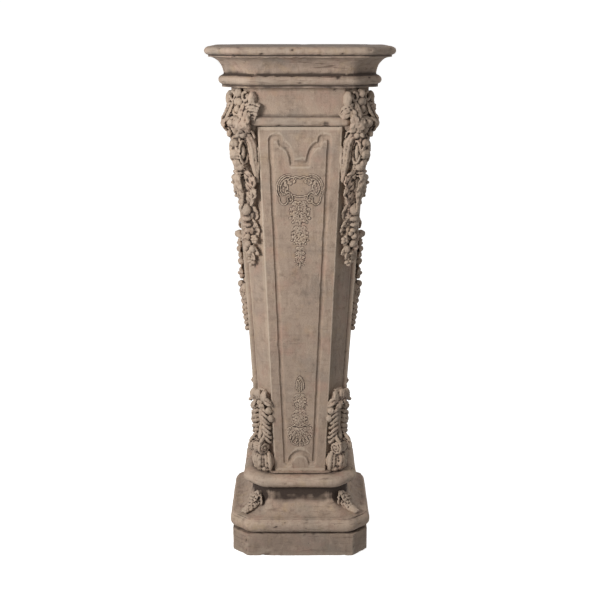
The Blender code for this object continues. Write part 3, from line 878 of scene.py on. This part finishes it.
def low_ornament(relief):
    """The ribbed husk, bunches and shell band low on the panel."""
    for across in (-7.4, -3.7, 0, 3.7, 7.4):
        relief.stroke([(across * 0.5, 427 - abs(across) * 0.5), (across, 414),
                       (across * 1.2, 390 + abs(across))], 1.5, 2.2)
    husk_cluster(relief, 386, 34, 42)
    husk_cluster(relief, 346, 40, 46)
    for lean in range(-84, 85, 14):
        relief.leaf((lean * 0.05, 299), 30 + 13 * math.cos(math.radians(lean)), 7, lean, 2.3, 4)
    for side in (-1, 1):
        relief.stroke([(side * 3, 303), (side * 12, 306), (side * 21, 302), (side * 27, 293),
                       (side * 28, 281), (side * 22, 272)], 1.3, 2.1)
        relief.stroke([(side * 4, 263), (side * 10, 258), (side * 18, 261), (side * 21, 268)], 1.3, 2.1)
        for across, up in ((22, 286), (17, 270), (11, 262), (25, 300), (6, 256)):
            relief.berry((side * across, up), 2.2, 2.2)
        for across, up in ((9, 284), (15, 290), (19, 279), (6, 272), (13, 276), (23, 308)):
            relief.drill((side * across, up), 1.2, 1.8)


def slab_rows(fine):
    """Heights of the slab's rows: close together where it is carved."""
    stops = [SHAFT_FOOT, 0.24, 0.25, 0.435, 0.67, 0.905, 0.985, SLAB_TOP]
    plain, closer = SLAB_STEP, SLAB_STEP * 0.6
    steps = [closer, plain, fine, plain, fine, closer, closer]
    rows = [stops[0]]
    for low, high, step in zip(stops, stops[1:], steps):
        count = max(int(round((high - low) / step)), 1)
        rows += list(np.linspace(low, high, count + 1)[1:])
    return np.array(rows)


def slab(name, degrees, ornament, fine, columns, seed):
    """One raised slab: a closed board whose face is grooved round the panel and carved."""
    rows = slab_rows(fine)
    places = np.linspace(-1, 1, columns)
    up, share = np.meshgrid(rows, places, indexing="ij")
    across = share * slab_half_width(up)
    gap = distance_to(panel_line(), across, up, closed=True) / (GROOVE_WIDTH / 2)
    groove = -GROOVE_DEPTH * np.sqrt(np.clip(1 - gap ** 4, 0, 1))
    relief = Relief(across, up)
    if ornament:
        cartouche(relief)
        husk_cluster(relief, 840, 50, 58)
        husk_cluster(relief, 783, 42, 48)
        husk_cluster(relief, 737, 27, 52)
        low_ornament(relief)
    height = groove + relief.height()
    edge = (1 - np.abs(share)) * slab_half_width(up)
    height -= SLAB_EDGE_WEAR * np.clip(1 - edge / SLAB_EDGE_WIDTH, 0, 1) ** 2
    front = np.column_stack((across.ravel(), -(slab_face(up) + height).ravel(), up.ravel()))
    high, wide = across.shape
    grid = np.arange(high * wide).reshape(high, wide)
    rim = np.concatenate((grid[0], grid[1:, -1], grid[-1, -2::-1], grid[-2:0:-1, 0])).tolist()
    back = front[rim].copy()
    back[:, 1] = -(slab_face(back[:, 2]) - SLAB_PROUD - SLAB_SUNK)
    corners = (grid[:-1, :-1], grid[:-1, 1:], grid[1:, 1:], grid[1:, :-1])
    faces = np.stack([corner.ravel() for corner in corners], axis=1).tolist()
    first = high * wide
    faces += [(rim[after], rim[index], first + index, first + after) for index, after in around(len(rim))]
    faces.append(tuple(range(first, first + len(rim))))
    piece = board_of(name, np.vstack((front, back)).tolist(), faces)
    piece.data.transform(Matrix.Rotation(math.radians(degrees), 4, "Z"))
    weather(piece, seed, 0.0004, 0.0016)
    # The hollow mark lets the stone paint shade into the relief's hollows; the groove gets only a faint
    # share
    mark_hollows(piece, rounds=5, depth=0.0009, shares=np.clip((gap.ravel() - 1.2) * 2, 0.12, 1))
    only(piece)
    bpy.ops.object.shade_smooth_by_angle(angle=SLAB_ARRIS)
    return piece


# The corner carving, from the frieze down

def leaf_head():
    """Shell and leaf head on a frieze corner: nubs, ringed boss, ribbed ear and a heavy brow below."""
    hoop = np.radians(range(60, 400, 34))
    ring = [(20 + 8.0 * math.cos(turn), 12, 1066 + 9.0 * math.sin(turn)) for turn in hoop]
    return [
        fruit((0, -6, 1048), (36, 20, 38)),
        fruit((0, -2, 1010), (34, 20, 28)),
        fruit((0, 12, 1072), (9.5, 10, 11), flutes=4, flute=0.12),
        fruit((0, 10, 1054), (15, 11, 12)),
        fruit((0, 16, 1039), (7.4, 7.4, 8.8)),
        roll([(-11, 10, 1052), (-13, 14, 1043), (-11, 18, 1031), (0, 20, 1025), (11, 18, 1031),
                (13, 14, 1043), (11, 10, 1052)], [1.8, 2.6, 3.0, 3.4, 3.0, 2.6, 1.8], across=(0, 1, 0)),
        fruit((0, 20, 1008), (27, 19, 17), flutes=11, flute=0.07, segments=44),
        fruit((0, 37, 1011), (8, 6, 7)),
        both(roll, ring, [3.0, 3.4, 3.6, 3.6, 3.4, 3.0], across=(0, 1, 0), rings=30),
        both(fruit, (36, 6, 1060), (8.5, 10.5, 17), lean=4),
        both(leaf, [(20, 10, 1054), (19, 15, 1043), (20, 22, 1030), (25, 28, 1018)], [4, 6.5, 7, 4],
                across=(1, -0.6, 0), ribs=3, rib=0.24, arch=0.3, thick=3.4),
        both(leaf, [(31, 10, 1042), (34, 20, 1030), (36, 28, 1015), (35, 29, 1001), (30, 24, 990)],
                [4, 8, 9, 8, 4], across=(0.7, -0.7, 0), lobes=4, vein=0.16, notch=0.35, arch=0.3),
        both(leaf, [(12, 30, 1020), (21, 36, 1012), (25, 38, 1000), (22, 34, 990)], [4, 7, 7, 3],
                across=(0.8, -0.5, 0.3), lobes=3, vein=0.18, notch=0.4, arch=0.3, thick=3.4),
        both(fruit, (28, 24, 1006), (11, 14, 17), flutes=5, flute=0.1),
        both(fruit, (20, 29, 986), (8.5, 9, 9)),
        fruit((0, 30, 992), (8, 8, 8)),
        leaf([(-20, 7, 1044), (-31, 10, 1040), (-41, 7, 1032), (-48, 0, 1022)], [5, 11, 13, 9],
                across=(0.55, 0, 1), ribs=4, rib=0.22, arch=0.3, thick=4),
        leaf([(16, 9, 1037), (27, 11, 1040), (38, 8, 1041), (50, 0, 1037)], [6, 11, 15, 12],
                across=(-0.25, 0, 1), ribs=4, rib=0.24, lobes=3, notch=0.18, arch=0.35, thick=4),
        leaf([(17, 10, 1028), (30, 11, 1024), (43, 3, 1019)], [5, 8, 5], across=(0, 0, 1), ribs=2, rib=0.24,
                arch=0.3, thick=4),
    ]


def head_console():
    """The scrolled bracket under the head, with a broad band curled over on each flank and buds in front."""
    body = [(16, 998), (30, 992), (35, 970), (33, 940), (25, 918), (14, 900), (-4, 880), (-6, 1004)]
    band = [(30, 5, 880), (30, 7, 902), (28, 9, 928), (26.5, 10, 955), (24.5, 14, 974), (20, 23, 986),
            (16, 34, 988), (13, 43, 981)]
    hoop = np.radians(range(0, 375, 25))
    oval = [(15.5, 27 + 11.5 * math.cos(turn), 947 + 24 * math.sin(turn)) for turn in hoop]
    parts = [
        board(body, 13),
        fruit((0, 20, 996), (15, 18, 9)),
        fruit((0, 27, 917), (14, 12, 14)),
        fruit((0, 29, 901), (11.5, 11, 2.8)),
        fruit((0, 28, 894), (9.5, 9.5, 2.4)),
        both(roll, band, [6, 8.5, 10, 10.5, 10.5, 9.5, 8, 5.5], flutes=6, flute=0.13, segments=36,
                rings=48),
        both(roll, oval, [3.0, 3.0], segments=10, rings=60),
        both(fruit, (13.5, 28, 947), (5.5, 5.5, 16), tip=3),
    ]
    for lift, height, size in ((38, 966, 0.95), (38, 944, 1.15), (34, 923, 0.95)):
        parts.append(fruit((0, lift, height), (12 * size, 10 * size, 9 * size), flutes=5, flute=0.16))
        parts.append(fruit((0, lift - 4, height - 9), (13 * size, 8 * size, 3.4)))
    return parts + [
        both(leaf, [(3, 40, 958), (9, 41, 952), (13, 37, 944)], [3, 5.0, 2], thick=2.4,
                across=(0.6, 0, 0.8), steps=(12, 8)),
        both(leaf, [(12, 34, 994), (21, 25, 997), (31, 14, 991), (35, 8, 978)], [5, 8, 8, 3],
                across=(0.5, 0.6, 0.6), lobes=3, vein=0.2, notch=0.45, arch=0.25),
        both(roll, [(37, 3, 960), (37, 3, 940), (36, 4, 918), (33, 7, 898), (29, 8, 886)],
                [1.8, 2.6, 3.2, 3.6, 2.2]),
    ]


def acanthus():
    """The leaf that hangs from the bracket, its side tips turned out."""
    return [
        fruit((0, 12, 872), (14, 15, 34)),
        leaf([(0, 32, 902), (0, 37, 886), (0, 33, 866), (0, 28, 848), (0, 27, 834)], [7, 12, 13, 9, 2.5],
                lobes=4, notch=0.42, vein=0.2, arch=0.35, thick=4),
        roll([(0, 35, 904), (0, 41, 886), (0, 37, 866), (0, 31, 848)], [3.0, 3.0, 2.4, 1.4]),
        both(leaf, [(7, 24, 905), (16, 21, 897), (25, 18, 887), (32, 17, 877), (35, 20, 872)],
                [6, 11, 12, 8, 3], across=(0.6, 0, 0.8), lobes=3, vein=0.2, notch=0.45, arch=0.25),
        both(leaf, [(8, 21, 884), (17, 19, 873), (25, 16, 861), (28, 15, 849), (28, 18, 843)],
                [6, 10, 10, 7, 3], across=(0.7, 0, 0.7), lobes=3, vein=0.2, notch=0.45, arch=0.25),
        both(leaf, [(7, 19, 862), (14, 18, 849), (19, 15, 836), (19, 17, 828)], [5, 8, 7, 2],
                across=(0.8, 0, 0.6), lobes=2, vein=0.18, notch=0.4),
    ]


def fruit_drop():
    """Bud, husk, flowers and fruit, and the rosette at the end."""
    return [
        roll([(0, 2, 900), (0, 2, 800), (0, 3, 706)], [16, 17, 8]),
        fruit((1, 17, 818), (13.5, 12.5, 14), flutes=3, flute=0.06),
        leaf([(0, 26, 834), (-3, 30, 824), (-4, 29, 814)], [3, 4, 1.5], thick=2.5, steps=(12, 8)),
        fruit((1, 17, 797), (12, 10.5, 6.5)),
        fruit((2, 18, 784), (11, 9.5, 5.5)),
        fruit((0, 15, 770), (7, 8, 6)),
        fruit((3, 19, 757), (6.5, 6.5, 7)),
        fruit((-6, 17, 764), (5, 5, 5)),
        fruit((1, 19, 740), (8.5, 8, 8)),
        fruit((12, 16, 729), (8, 8, 8), flutes=4),
        fruit((-11, 14, 728), (7.5, 7, 8), flutes=4),
        fruit((2, 14, 720), (6.5, 7, 6)),
        both(leaf, [(10, 9, 832), (16, 7, 820), (18, 3, 806), (16, 2, 797)], [4, 6.5, 6, 3],
                across=(0.8, 0, 0.6), lobes=2, vein=0.14),
        both(leaf, [(9, 10, 796), (16, 8, 786), (19, 3, 772), (17, 2, 760)], [4, 7.5, 7.5, 3],
                across=(0.9, 0, 0.4), lobes=4, vein=0.2, notch=0.5),
        flower((-17, 12, 749), 10.5, 6),
        flower((17, 13, 752), 10.0, 6, start=25),
        both(leaf, [(8, 11, 736), (16, 11, 726), (20, 7, 716)], [4, 7, 3], across=(0.8, 0, 0.6), lobes=2,
                vein=0.16, notch=0.4),
        both(leaf, [(3, 10, 722), (9, 12, 712), (12, 11, 703)], [3, 5, 2], across=(0.9, 0, 0.4), lobes=2,
                vein=0.14),
        flower((0, 11, 699), 11.5, 5, start=36, eye=0.3),
    ]


def foot_console():
    """The leafy scroll on the shaft's foot: ruffled crown, curling leaves, flank volutes and ribbed foot."""
    body = [(6, 392), (12, 380), (9, 350), (9, 320), (11, 295), (17, 275), (30, 262), (36, 250), (30, 236),
            (24, 222), (20, 206), (16, 191), (-6, 191), (-6, 392)]
    curls = ((343, 0.8, 1), (331, 0.7, 3), (319, 0.85, 0), (307, 0.72, 3), (295, 0.88, 2), (283, 0.7, 4),
            (272, 0.8, 2))
    coil = []
    for step in range(24):
        turn = math.radians(110 - step * 32)
        shrink = 1 - step * 0.034
        out = 25 + 16.5 * shrink * math.cos(turn)
        coil.append((17 + 0.1 * step, out, 252 + 14.0 * shrink * math.sin(turn)))
    parts = [
        board(body, 11),
        roll([(0, 5, 352), (0, 7, 330), (0, 7, 304), (0, 12, 285), (0, 20, 268)], [9, 9, 8.5, 9, 10]),
        roll([(-16, 24, 252), (0, 25, 252), (16, 24, 252)], [13, 14, 13], across=(0, 0, 1), flutes=14,
                flute=0.08, segments=28),
        fruit((0, 10, 215), (29, 20, 25), flutes=18, flute=0.09, segments=108, rings=20),
        leaf([(0, 22, 240), (0, 30, 226), (0, 31, 210), (0, 25, 195)], [6, 11, 12, 6], ribs=3, rib=0.22,
                lobes=3, notch=0.3, thick=4),
        fruit((0, 2, 372), (20, 13, 21), flutes=9, flute=0.14, segments=36),
        leaf([(0, 8, 358), (0, 15, 370), (0, 17, 383), (0, 13, 390)], [5, 9, 9, 4], ribs=3, rib=0.26,
                thick=3.4),
        both(leaf, [(9, 9, 356), (15, 15, 368), (18, 15, 380), (17, 10, 388)], [5, 8, 8, 4], ribs=3,
                rib=0.26, thick=3.4),
        both(leaf, [(3, 15, 372), (9, 20, 362), (14, 20, 352), (13, 16, 344)], [4, 7, 7, 3],
                across=(0.8, -0.3, 0.3), lobes=3, vein=0.2, notch=0.45),
        both(leaf, [(14, 12, 376), (23, 14, 370), (30, 11, 362), (32, 5, 356)], [4, 7, 7, 3],
                across=(0.4, 0, -0.8), ribs=2, rib=0.28),
        both(fruit, (26, 9, 344), (7.5, 9, 8.5), flutes=4),
        both(fruit, (28, 7, 324), (7.0, 8, 8.5), flutes=4),
        both(roll, [(11, 12, 346), (16, 15, 338), (19, 13, 328), (17, 10, 320)], [3.5, 4.5, 4, 2.5],
                across=(0, 1, 0)),
    ]
    for height, size, turn_out in curls:
        reach = 22 + turn_out
        parts.append(both(leaf, [(6, 11, height + 7), (12, 16, height + 5), (reach - 4, 15, height),
                (reach, 11, height - 7 * size), (reach - 3, 7, height - 12 * size)],
                [3 * size, 6 * size, 7 * size, 5 * size, 2], across=(0.5, 0.5, 0.7), ribs=2, rib=0.34,
                lobes=2, notch=0.4, arch=0.4, thick=2.4))
    for off in (10, 18, 25):
        near = 1 - off / 60
        parts.append(both(leaf, [(off * 0.7, 24 * near, 240), (off, 29 * near, 226),
                (off * 1.08, 30 * near, 210), (off * 0.95, 24 * near, 195)], [3, 4.5, 5, 3.5],
                across=(1, -off / 30, 0), ribs=1, rib=0.3, arch=0.5, thick=3))
    return parts + [
        both(roll, [(12, 14, 292), (15, 20, 278), (16, 30, 270), (16, 38, 264)], [3, 4, 4, 3]),
        both(fruit, (13, 20, 198), (10, 10, 7.5), flutes=6, flute=0.2),
        both(roll, coil, [3.0, 3.4, 3.4, 3.2, 2.8, 2.4, 2.0], segments=10, rings=80),
        both(fruit, (12, 25, 252), (5.5, 15, 13)),
        both(fruit, (18, 25, 252), (4.5, 4, 3.8)),
    ]


def side_drop():
    """Flowers, fruit, a ribbed bow and bell buds down a side face."""
    parts = [
        roll([(0, 1, 752), (0, 1, 640), (0, 1, 506)], [10, 9, 5]),
        fruit((0, 10, 742), (10, 11, 9), flutes=4),
        fruit((0, 10, 706), (9, 9, 8)),
        fruit((0, 9, 676), (11, 10, 9), flutes=5),
        fruit((0, 5, 604), (21, 15, 24), lean=38, flutes=12, flute=0.22, segments=48, rings=16),
        fruit((0, 4, 604), (21, 15, 24), lean=-38, flutes=12, flute=0.22, segments=48, rings=16),
        fruit((0, 14, 622), (9, 9, 9), flutes=5),
        flower((0, 11, 648), 14, 6),
        flower((-16, 9, 722), 11, 5),
        flower((16, 9, 724), 11, 5, start=30),
        both(fruit, (13, 8, 694), (8, 8, 8)),
        both(fruit, (20, 7, 740), (6, 7, 6)),
        both(leaf, [(6, 6, 716), (18, 10, 704), (26, 7, 692)], [5, 9, 4], across=(0.7, 0, 0.7), lobes=3,
                vein=0.16, notch=0.4),
        both(leaf, [(6, 6, 672), (17, 10, 662), (24, 7, 652)], [5, 8, 4], across=(0.7, 0, 0.7), lobes=3,
                vein=0.16, notch=0.4),
        both(leaf, [(4, 6, 758), (10, 7, 770), (12, 2, 779)], [4, 6, 3], lobes=2, vein=0.14),
    ]
    for height, size in ((580, 10), (566, 9), (553, 8.5), (540, 7.5), (527, 6.5), (514, 6)):
        lean = 14 if height % 2 else -14
        parts.append(fruit((0, 8, height), (size, size, size * 1.05), lean=lean, flutes=4, flute=0.14))
        parts.append(both(fruit, (size * 0.85, 6, height + size * 0.5),
                (size * 0.55, size * 0.55, size * 0.6)))
    return parts


def flare_leaf():
    """The leaf and small fruit that run down a cut corner of the base."""
    route = [(0, 133, 137), (0, 137, 125), (0, 145, 115), (0, 158, 108), (0, 174, 103), (0, 188, 100)]
    swell = [4, 8, 10, 10, 8, 4]
    seeds = np.random.default_rng(21)
    parts = [roll(route, swell, rings=24)]
    for share in np.linspace(0.3, 0.98, 26):
        _, out, height = along(route, [share])[0]
        round_it = float(np.interp(share * 5, range(6), swell))
        for across in (-0.95, -0.45, 0.1, 0.6, 1.0):
            side = (across + seeds.uniform(-0.18, 0.18)) * round_it
            raised = math.sqrt(max(round_it ** 2 - side ** 2, 4.0)) * 0.9
            size = seeds.uniform(2.3, 3.4)
            parts.append(fruit((side, out + 0.5 * raised, height + 0.85 * raised), (size, size, size),
                    segments=8, rings=6))
    return parts + [
        leaf([(0, 139, 140), (0, 146, 130), (0, 155, 122), (0, 163, 117)], [4, 9, 11, 4], lobes=4,
                vein=0.22, notch=0.5, arch=0.25, thick=3.2),
        both(leaf, [(6, 140, 131), (14, 144, 124), (21, 149, 114)], [4, 7, 3], across=(0.6, 0.2, 1),
                lobes=3, vein=0.2, notch=0.4),
    ]


# Stone

def linear(code):
    """An sRGB hex colour as linear red, green, blue, alpha."""
    parts = [int(code[i:i + 2], 16) / 255 for i in (1, 3, 5)]
    return tuple(c / 12.92 if c <= 0.04045 else ((c + 0.055) / 1.055) ** 2.4 for c in parts) + (1.0,)


def add_node(tree, kind, settings=None, links=None):
    """A node with its settings and sockets set, and its inputs linked from other nodes' outputs."""
    node = tree.nodes.new(kind)
    for name, value in (settings or {}).items():
        if isinstance(name, int) or name in node.inputs:
            node.inputs[name].default_value = value
        else:
            setattr(node, name, value)
    for name, source in (links or {}).items():
        tree.links.new(source, node.inputs[name])
    return node


def cast_stone(name, clay, pink, ochre, grey, soot_and_shade_share, layering):
    """Weathered cast composition stone: a matt, sandy skin in mottled browns.

    Painted shade, with some soot, darkens its hollows and the bands marked under its mouldings, its arrises
    are worn pale, and small casting pits show as dark specks.
    """
    material = bpy.data.materials.new(name)
    material.use_nodes = True
    tree = material.node_tree
    shader = tree.nodes["Principled BSDF"]
    place = add_node(tree, "ShaderNodeTexCoord").outputs["Object"]

    def drawn_out(scale):
        return add_node(tree, "ShaderNodeMapping", {"Scale": scale}, {"Vector": place}).outputs[0]

    def speckle(size, detail=3.0, roughness=0.55, where=place):
        return add_node(tree, "ShaderNodeTexNoise",
                        {"Scale": 1 / size, "Detail": detail, "Roughness": roughness},
                        {"Vector": where}).outputs["Fac"]

    def between(value, low, high):
        return add_node(tree, "ShaderNodeMapRange", {"From Min": low, "From Max": high},
                        {"Value": value}).outputs["Result"]

    def calculate(operation, first, second):
        node = add_node(tree, "ShaderNodeMath", {"operation": operation}, {0: first})
        if isinstance(second, float):
            node.inputs[1].default_value = second
        else:
            tree.links.new(second, node.inputs[1])
        return node.outputs[0]

    def tint(first, second, share, strength):
        node = add_node(tree, "ShaderNodeMix", {"data_type": "RGBA"})
        tree.links.new(calculate("MULTIPLY", share, strength), node.inputs[0])
        for socket, colour in ((node.inputs[6], first), (node.inputs[7], second)):
            if isinstance(colour, str):
                socket.default_value = linear(colour)
            else:
                tree.links.new(colour, socket)
        return node.outputs[2]

    hollow = add_node(tree, "ShaderNodeAttribute", {"attribute_name": "hollow"}).outputs["Fac"]
    grain = between(speckle(0.0022, 4, 0.7), 0.30, 0.72)
    pits = add_node(tree, "ShaderNodeTexVoronoi", {"Scale": 1 / 0.011, "Randomness": 1.0}, {"Vector": place})
    specks = calculate("MULTIPLY", between(pits.outputs["Distance"], 0.10, 0.045),
                       between(speckle(0.03, 2), 0.42, 0.56))
    streaks = speckle(0.009, 5, 0.6, drawn_out((1.0, 1.0, 0.16)))
    layers = speckle(0.0050, 4, 0.6, drawn_out((0.10, 0.10, 1.0)))
    colour = clay[0]
    for stain, pattern, low, high, strength in (
            (clay[1], speckle(0.10), 0.40, 0.62, 1.0),
            (pink, speckle(0.045, 4), 0.52, 0.68, 0.55),
            (ochre, speckle(0.032, 4), 0.54, 0.70, 0.45),
            (grey, speckle(0.065, 5), 0.53, 0.68, 0.60),
            (STREAK, streaks, 0.52, 0.72, 0.42),
            (LAYER, layers, 0.57, 0.70, layering),
            (STAIN, speckle(0.020, 6, 0.65), 0.53, 0.70, 0.45),
            (BLOOM, speckle(0.013, 5, 0.6), 0.55, 0.72, 0.35),
            (GRAIN, grain, 0.0, 1.0, 0.26),
            (WORN_ARRIS, hollow, -0.12, -0.75, 0.45),
            # Painted shade: darker in hollows and in bands under mouldings, with some soot
            (SOOT_AND_SHADE, hollow, 0.16, 0.80, soot_and_shade_share),
            (PIT, specks, 0.0, 1.0, 0.85)):
        colour = tint(colour, stain, between(pattern, low, high), strength)
    tree.links.new(colour, shader.inputs["Base Color"])
    shader.inputs["Metallic"].default_value = 0.0
    shader.inputs["IOR"].default_value = 1.45
    rough_skin = add_node(tree, "ShaderNodeMapRange", {"To Min": 0.80, "To Max": 0.97}, {"Value": grain})
    tree.links.new(rough_skin.outputs["Result"], shader.inputs["Roughness"])
    lumps = calculate("ADD", calculate("MULTIPLY", speckle(0.0045, 4, 0.6), 1.6),
                      calculate("MULTIPLY", grain, 0.35))
    sand = calculate("SUBTRACT", lumps, specks)
    bump = add_node(tree, "ShaderNodeBump", {"Strength": 0.55, "Distance": 0.0014}, {"Height": sand})
    tree.links.new(bump.outputs["Normal"], shader.inputs["Normal"])
    return material


def finish_piece(piece, node, material):
    """Give a piece its stone and set it on the frame in place of its solid."""
    piece.data.materials.clear()
    piece.data.materials.append(material)
    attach(piece, "root")
    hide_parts(node)


# The stand-in room

def studio():
    """Plain pale floor, soft light from the left front, and the camera of the photograph."""
    bpy.ops.object.select_all(action="DESELECT")
    bpy.ops.mesh.primitive_plane_add(size=FLOOR_SIZE, location=(0, 0, 0))
    floor = bpy.context.object
    floor.name = "studio_floor"
    paper = bpy.data.materials.new("pale_backdrop_paper")
    paper.use_nodes = True
    sheet = paper.node_tree.nodes["Principled BSDF"]
    sheet.inputs["Base Color"].default_value = linear("#F4F3F1")
    sheet.inputs["Roughness"].default_value = 0.9
    sheet.inputs["Emission Color"].default_value = linear("#FFFFFF")
    sheet.inputs["Emission Strength"].default_value = PAPER_GLOW
    floor.data.materials.append(paper)
    floor.visible_diffuse = False
    bpy.ops.mesh.primitive_uv_sphere_add(segments=48, ring_count=24, radius=DOME_RADIUS)
    dome = bpy.context.object
    dome.name = "studio_dome"
    dome.data.materials.append(paper)
    dome.visible_diffuse = False
    dome.visible_shadow = False
    world = bpy.data.worlds.new("studio_air")
    bpy.context.scene.world = world
    world.use_nodes = True
    world.node_tree.nodes["Background"].inputs["Color"].default_value = (1, 1, 1, 1)
    world.node_tree.nodes["Background"].inputs["Strength"].default_value = AIR_LIGHT
    bpy.context.scene.view_settings.view_transform = "Standard"
    for name, place, size, power in (("key", (-1.40, -1.62, 1.36), 0.7, 46),
                                     ("fill", (1.15, -1.70, 1.45), 1.0, 1.7),
                                     ("rear_key", (1.9, 2.2, 1.5), 1.2, 20)):
        light = bpy.data.lights.new(name, "AREA")
        light.energy = power
        light.size = size
        lamp = bpy.data.objects.new(name, light)
        bpy.context.collection.objects.link(lamp)
        lamp.location = place
        lamp.rotation_euler = (Vector((0, 0, 0.6)) - Vector(place)).to_track_quat("-Z", "Y").to_euler()
    view = bpy.data.cameras.new("photograph_view")
    view.lens = CAMERA_LENS
    view.sensor_width = CAMERA_FILM
    camera = bpy.data.objects.new("photograph_view", view)
    bpy.context.collection.objects.link(camera)
    camera.location = CAMERA_PLACE
    camera.rotation_euler = (math.radians(90 - CAMERA_PITCH), 0, 0)
    bpy.context.scene.camera = camera


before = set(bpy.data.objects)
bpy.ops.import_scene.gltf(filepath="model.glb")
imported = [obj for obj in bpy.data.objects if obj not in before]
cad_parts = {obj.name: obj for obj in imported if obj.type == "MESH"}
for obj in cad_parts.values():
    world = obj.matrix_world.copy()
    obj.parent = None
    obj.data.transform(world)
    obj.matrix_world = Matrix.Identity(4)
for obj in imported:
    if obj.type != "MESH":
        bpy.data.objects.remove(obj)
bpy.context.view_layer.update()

plinth_stone = cast_stone("plinth_cast_stone", ("#8B7869", "#9B8776"), "#94776A", "#9C866B", "#7C7369",
                          0.7, 0.60)
base_stone = cast_stone("base_cast_stone", ("#A79180", "#B49D89"), "#AD8B7A", "#B89B74", "#8F8478",
                        0.95, 0.60)
shaft_stone = cast_stone("shaft_cast_stone", ("#A08B7A", "#AE9885"), "#AB8877", "#AF9476", "#908377",
                         0.9, 0.25)
cap_stone = cast_stone("cap_cast_stone", ("#9F8B7B", "#AF9987"), "#A98979", "#B09574", "#90857A",
                       0.90, 0.85)

finish_piece(plinth_block(), "plinth_block", plinth_stone)
finish_piece(base(), "base", base_stone)
finish_piece(cap(), "cap", cap_stone)
finish_piece(frieze(), "shaft", shaft_stone)
finish_piece(shaft_core(), "shaft", shaft_stone)
for name, degrees, ornament, fine, columns, seed in (("front_slab", 0, True, RELIEF_STEP, 131, 21),
                                                     ("right_slab", 90, False, SLAB_STEP, 71, 22),
                                                     ("back_slab", 180, False, SLAB_STEP, 71, 23),
                                                     ("left_slab", 270, False, SLAB_STEP, 71, 24)):
    finish_piece(slab(name, degrees, ornament, fine, columns, seed), "shaft", shaft_stone)

upper_forms = leaf_head() + head_console() + acanthus() + fruit_drop()
upper = carve("upper_corner", corner_wall, upper_forms, 0.46, 31)
lower = carve("lower_corner", corner_wall, foot_console(), 0.52, 37)
leafy = carve("flare_corner", from_axis, flare_leaf(), 0.6, 41)
for degrees in CORNERS:
    for pattern, node, slot, material in ((upper, "shaft", "shaft_stone", shaft_stone),
                                          (lower, "shaft", "shaft_stone", shaft_stone),
                                          (leafy, "base", "base_stone", base_stone)):
        finish_piece(turned(pattern, f"{pattern.name}_{degrees}", degrees), node, material)
drop = carve("side_drop", slab_face, side_drop(), 0.6, 43)
for degrees in (90, 270):
    finish_piece(turned(drop, f"side_drop_{degrees}", degrees), "shaft", shaft_stone)
for pattern in (upper, lower, leafy, drop):
    bpy.data.objects.remove(pattern)

studio()
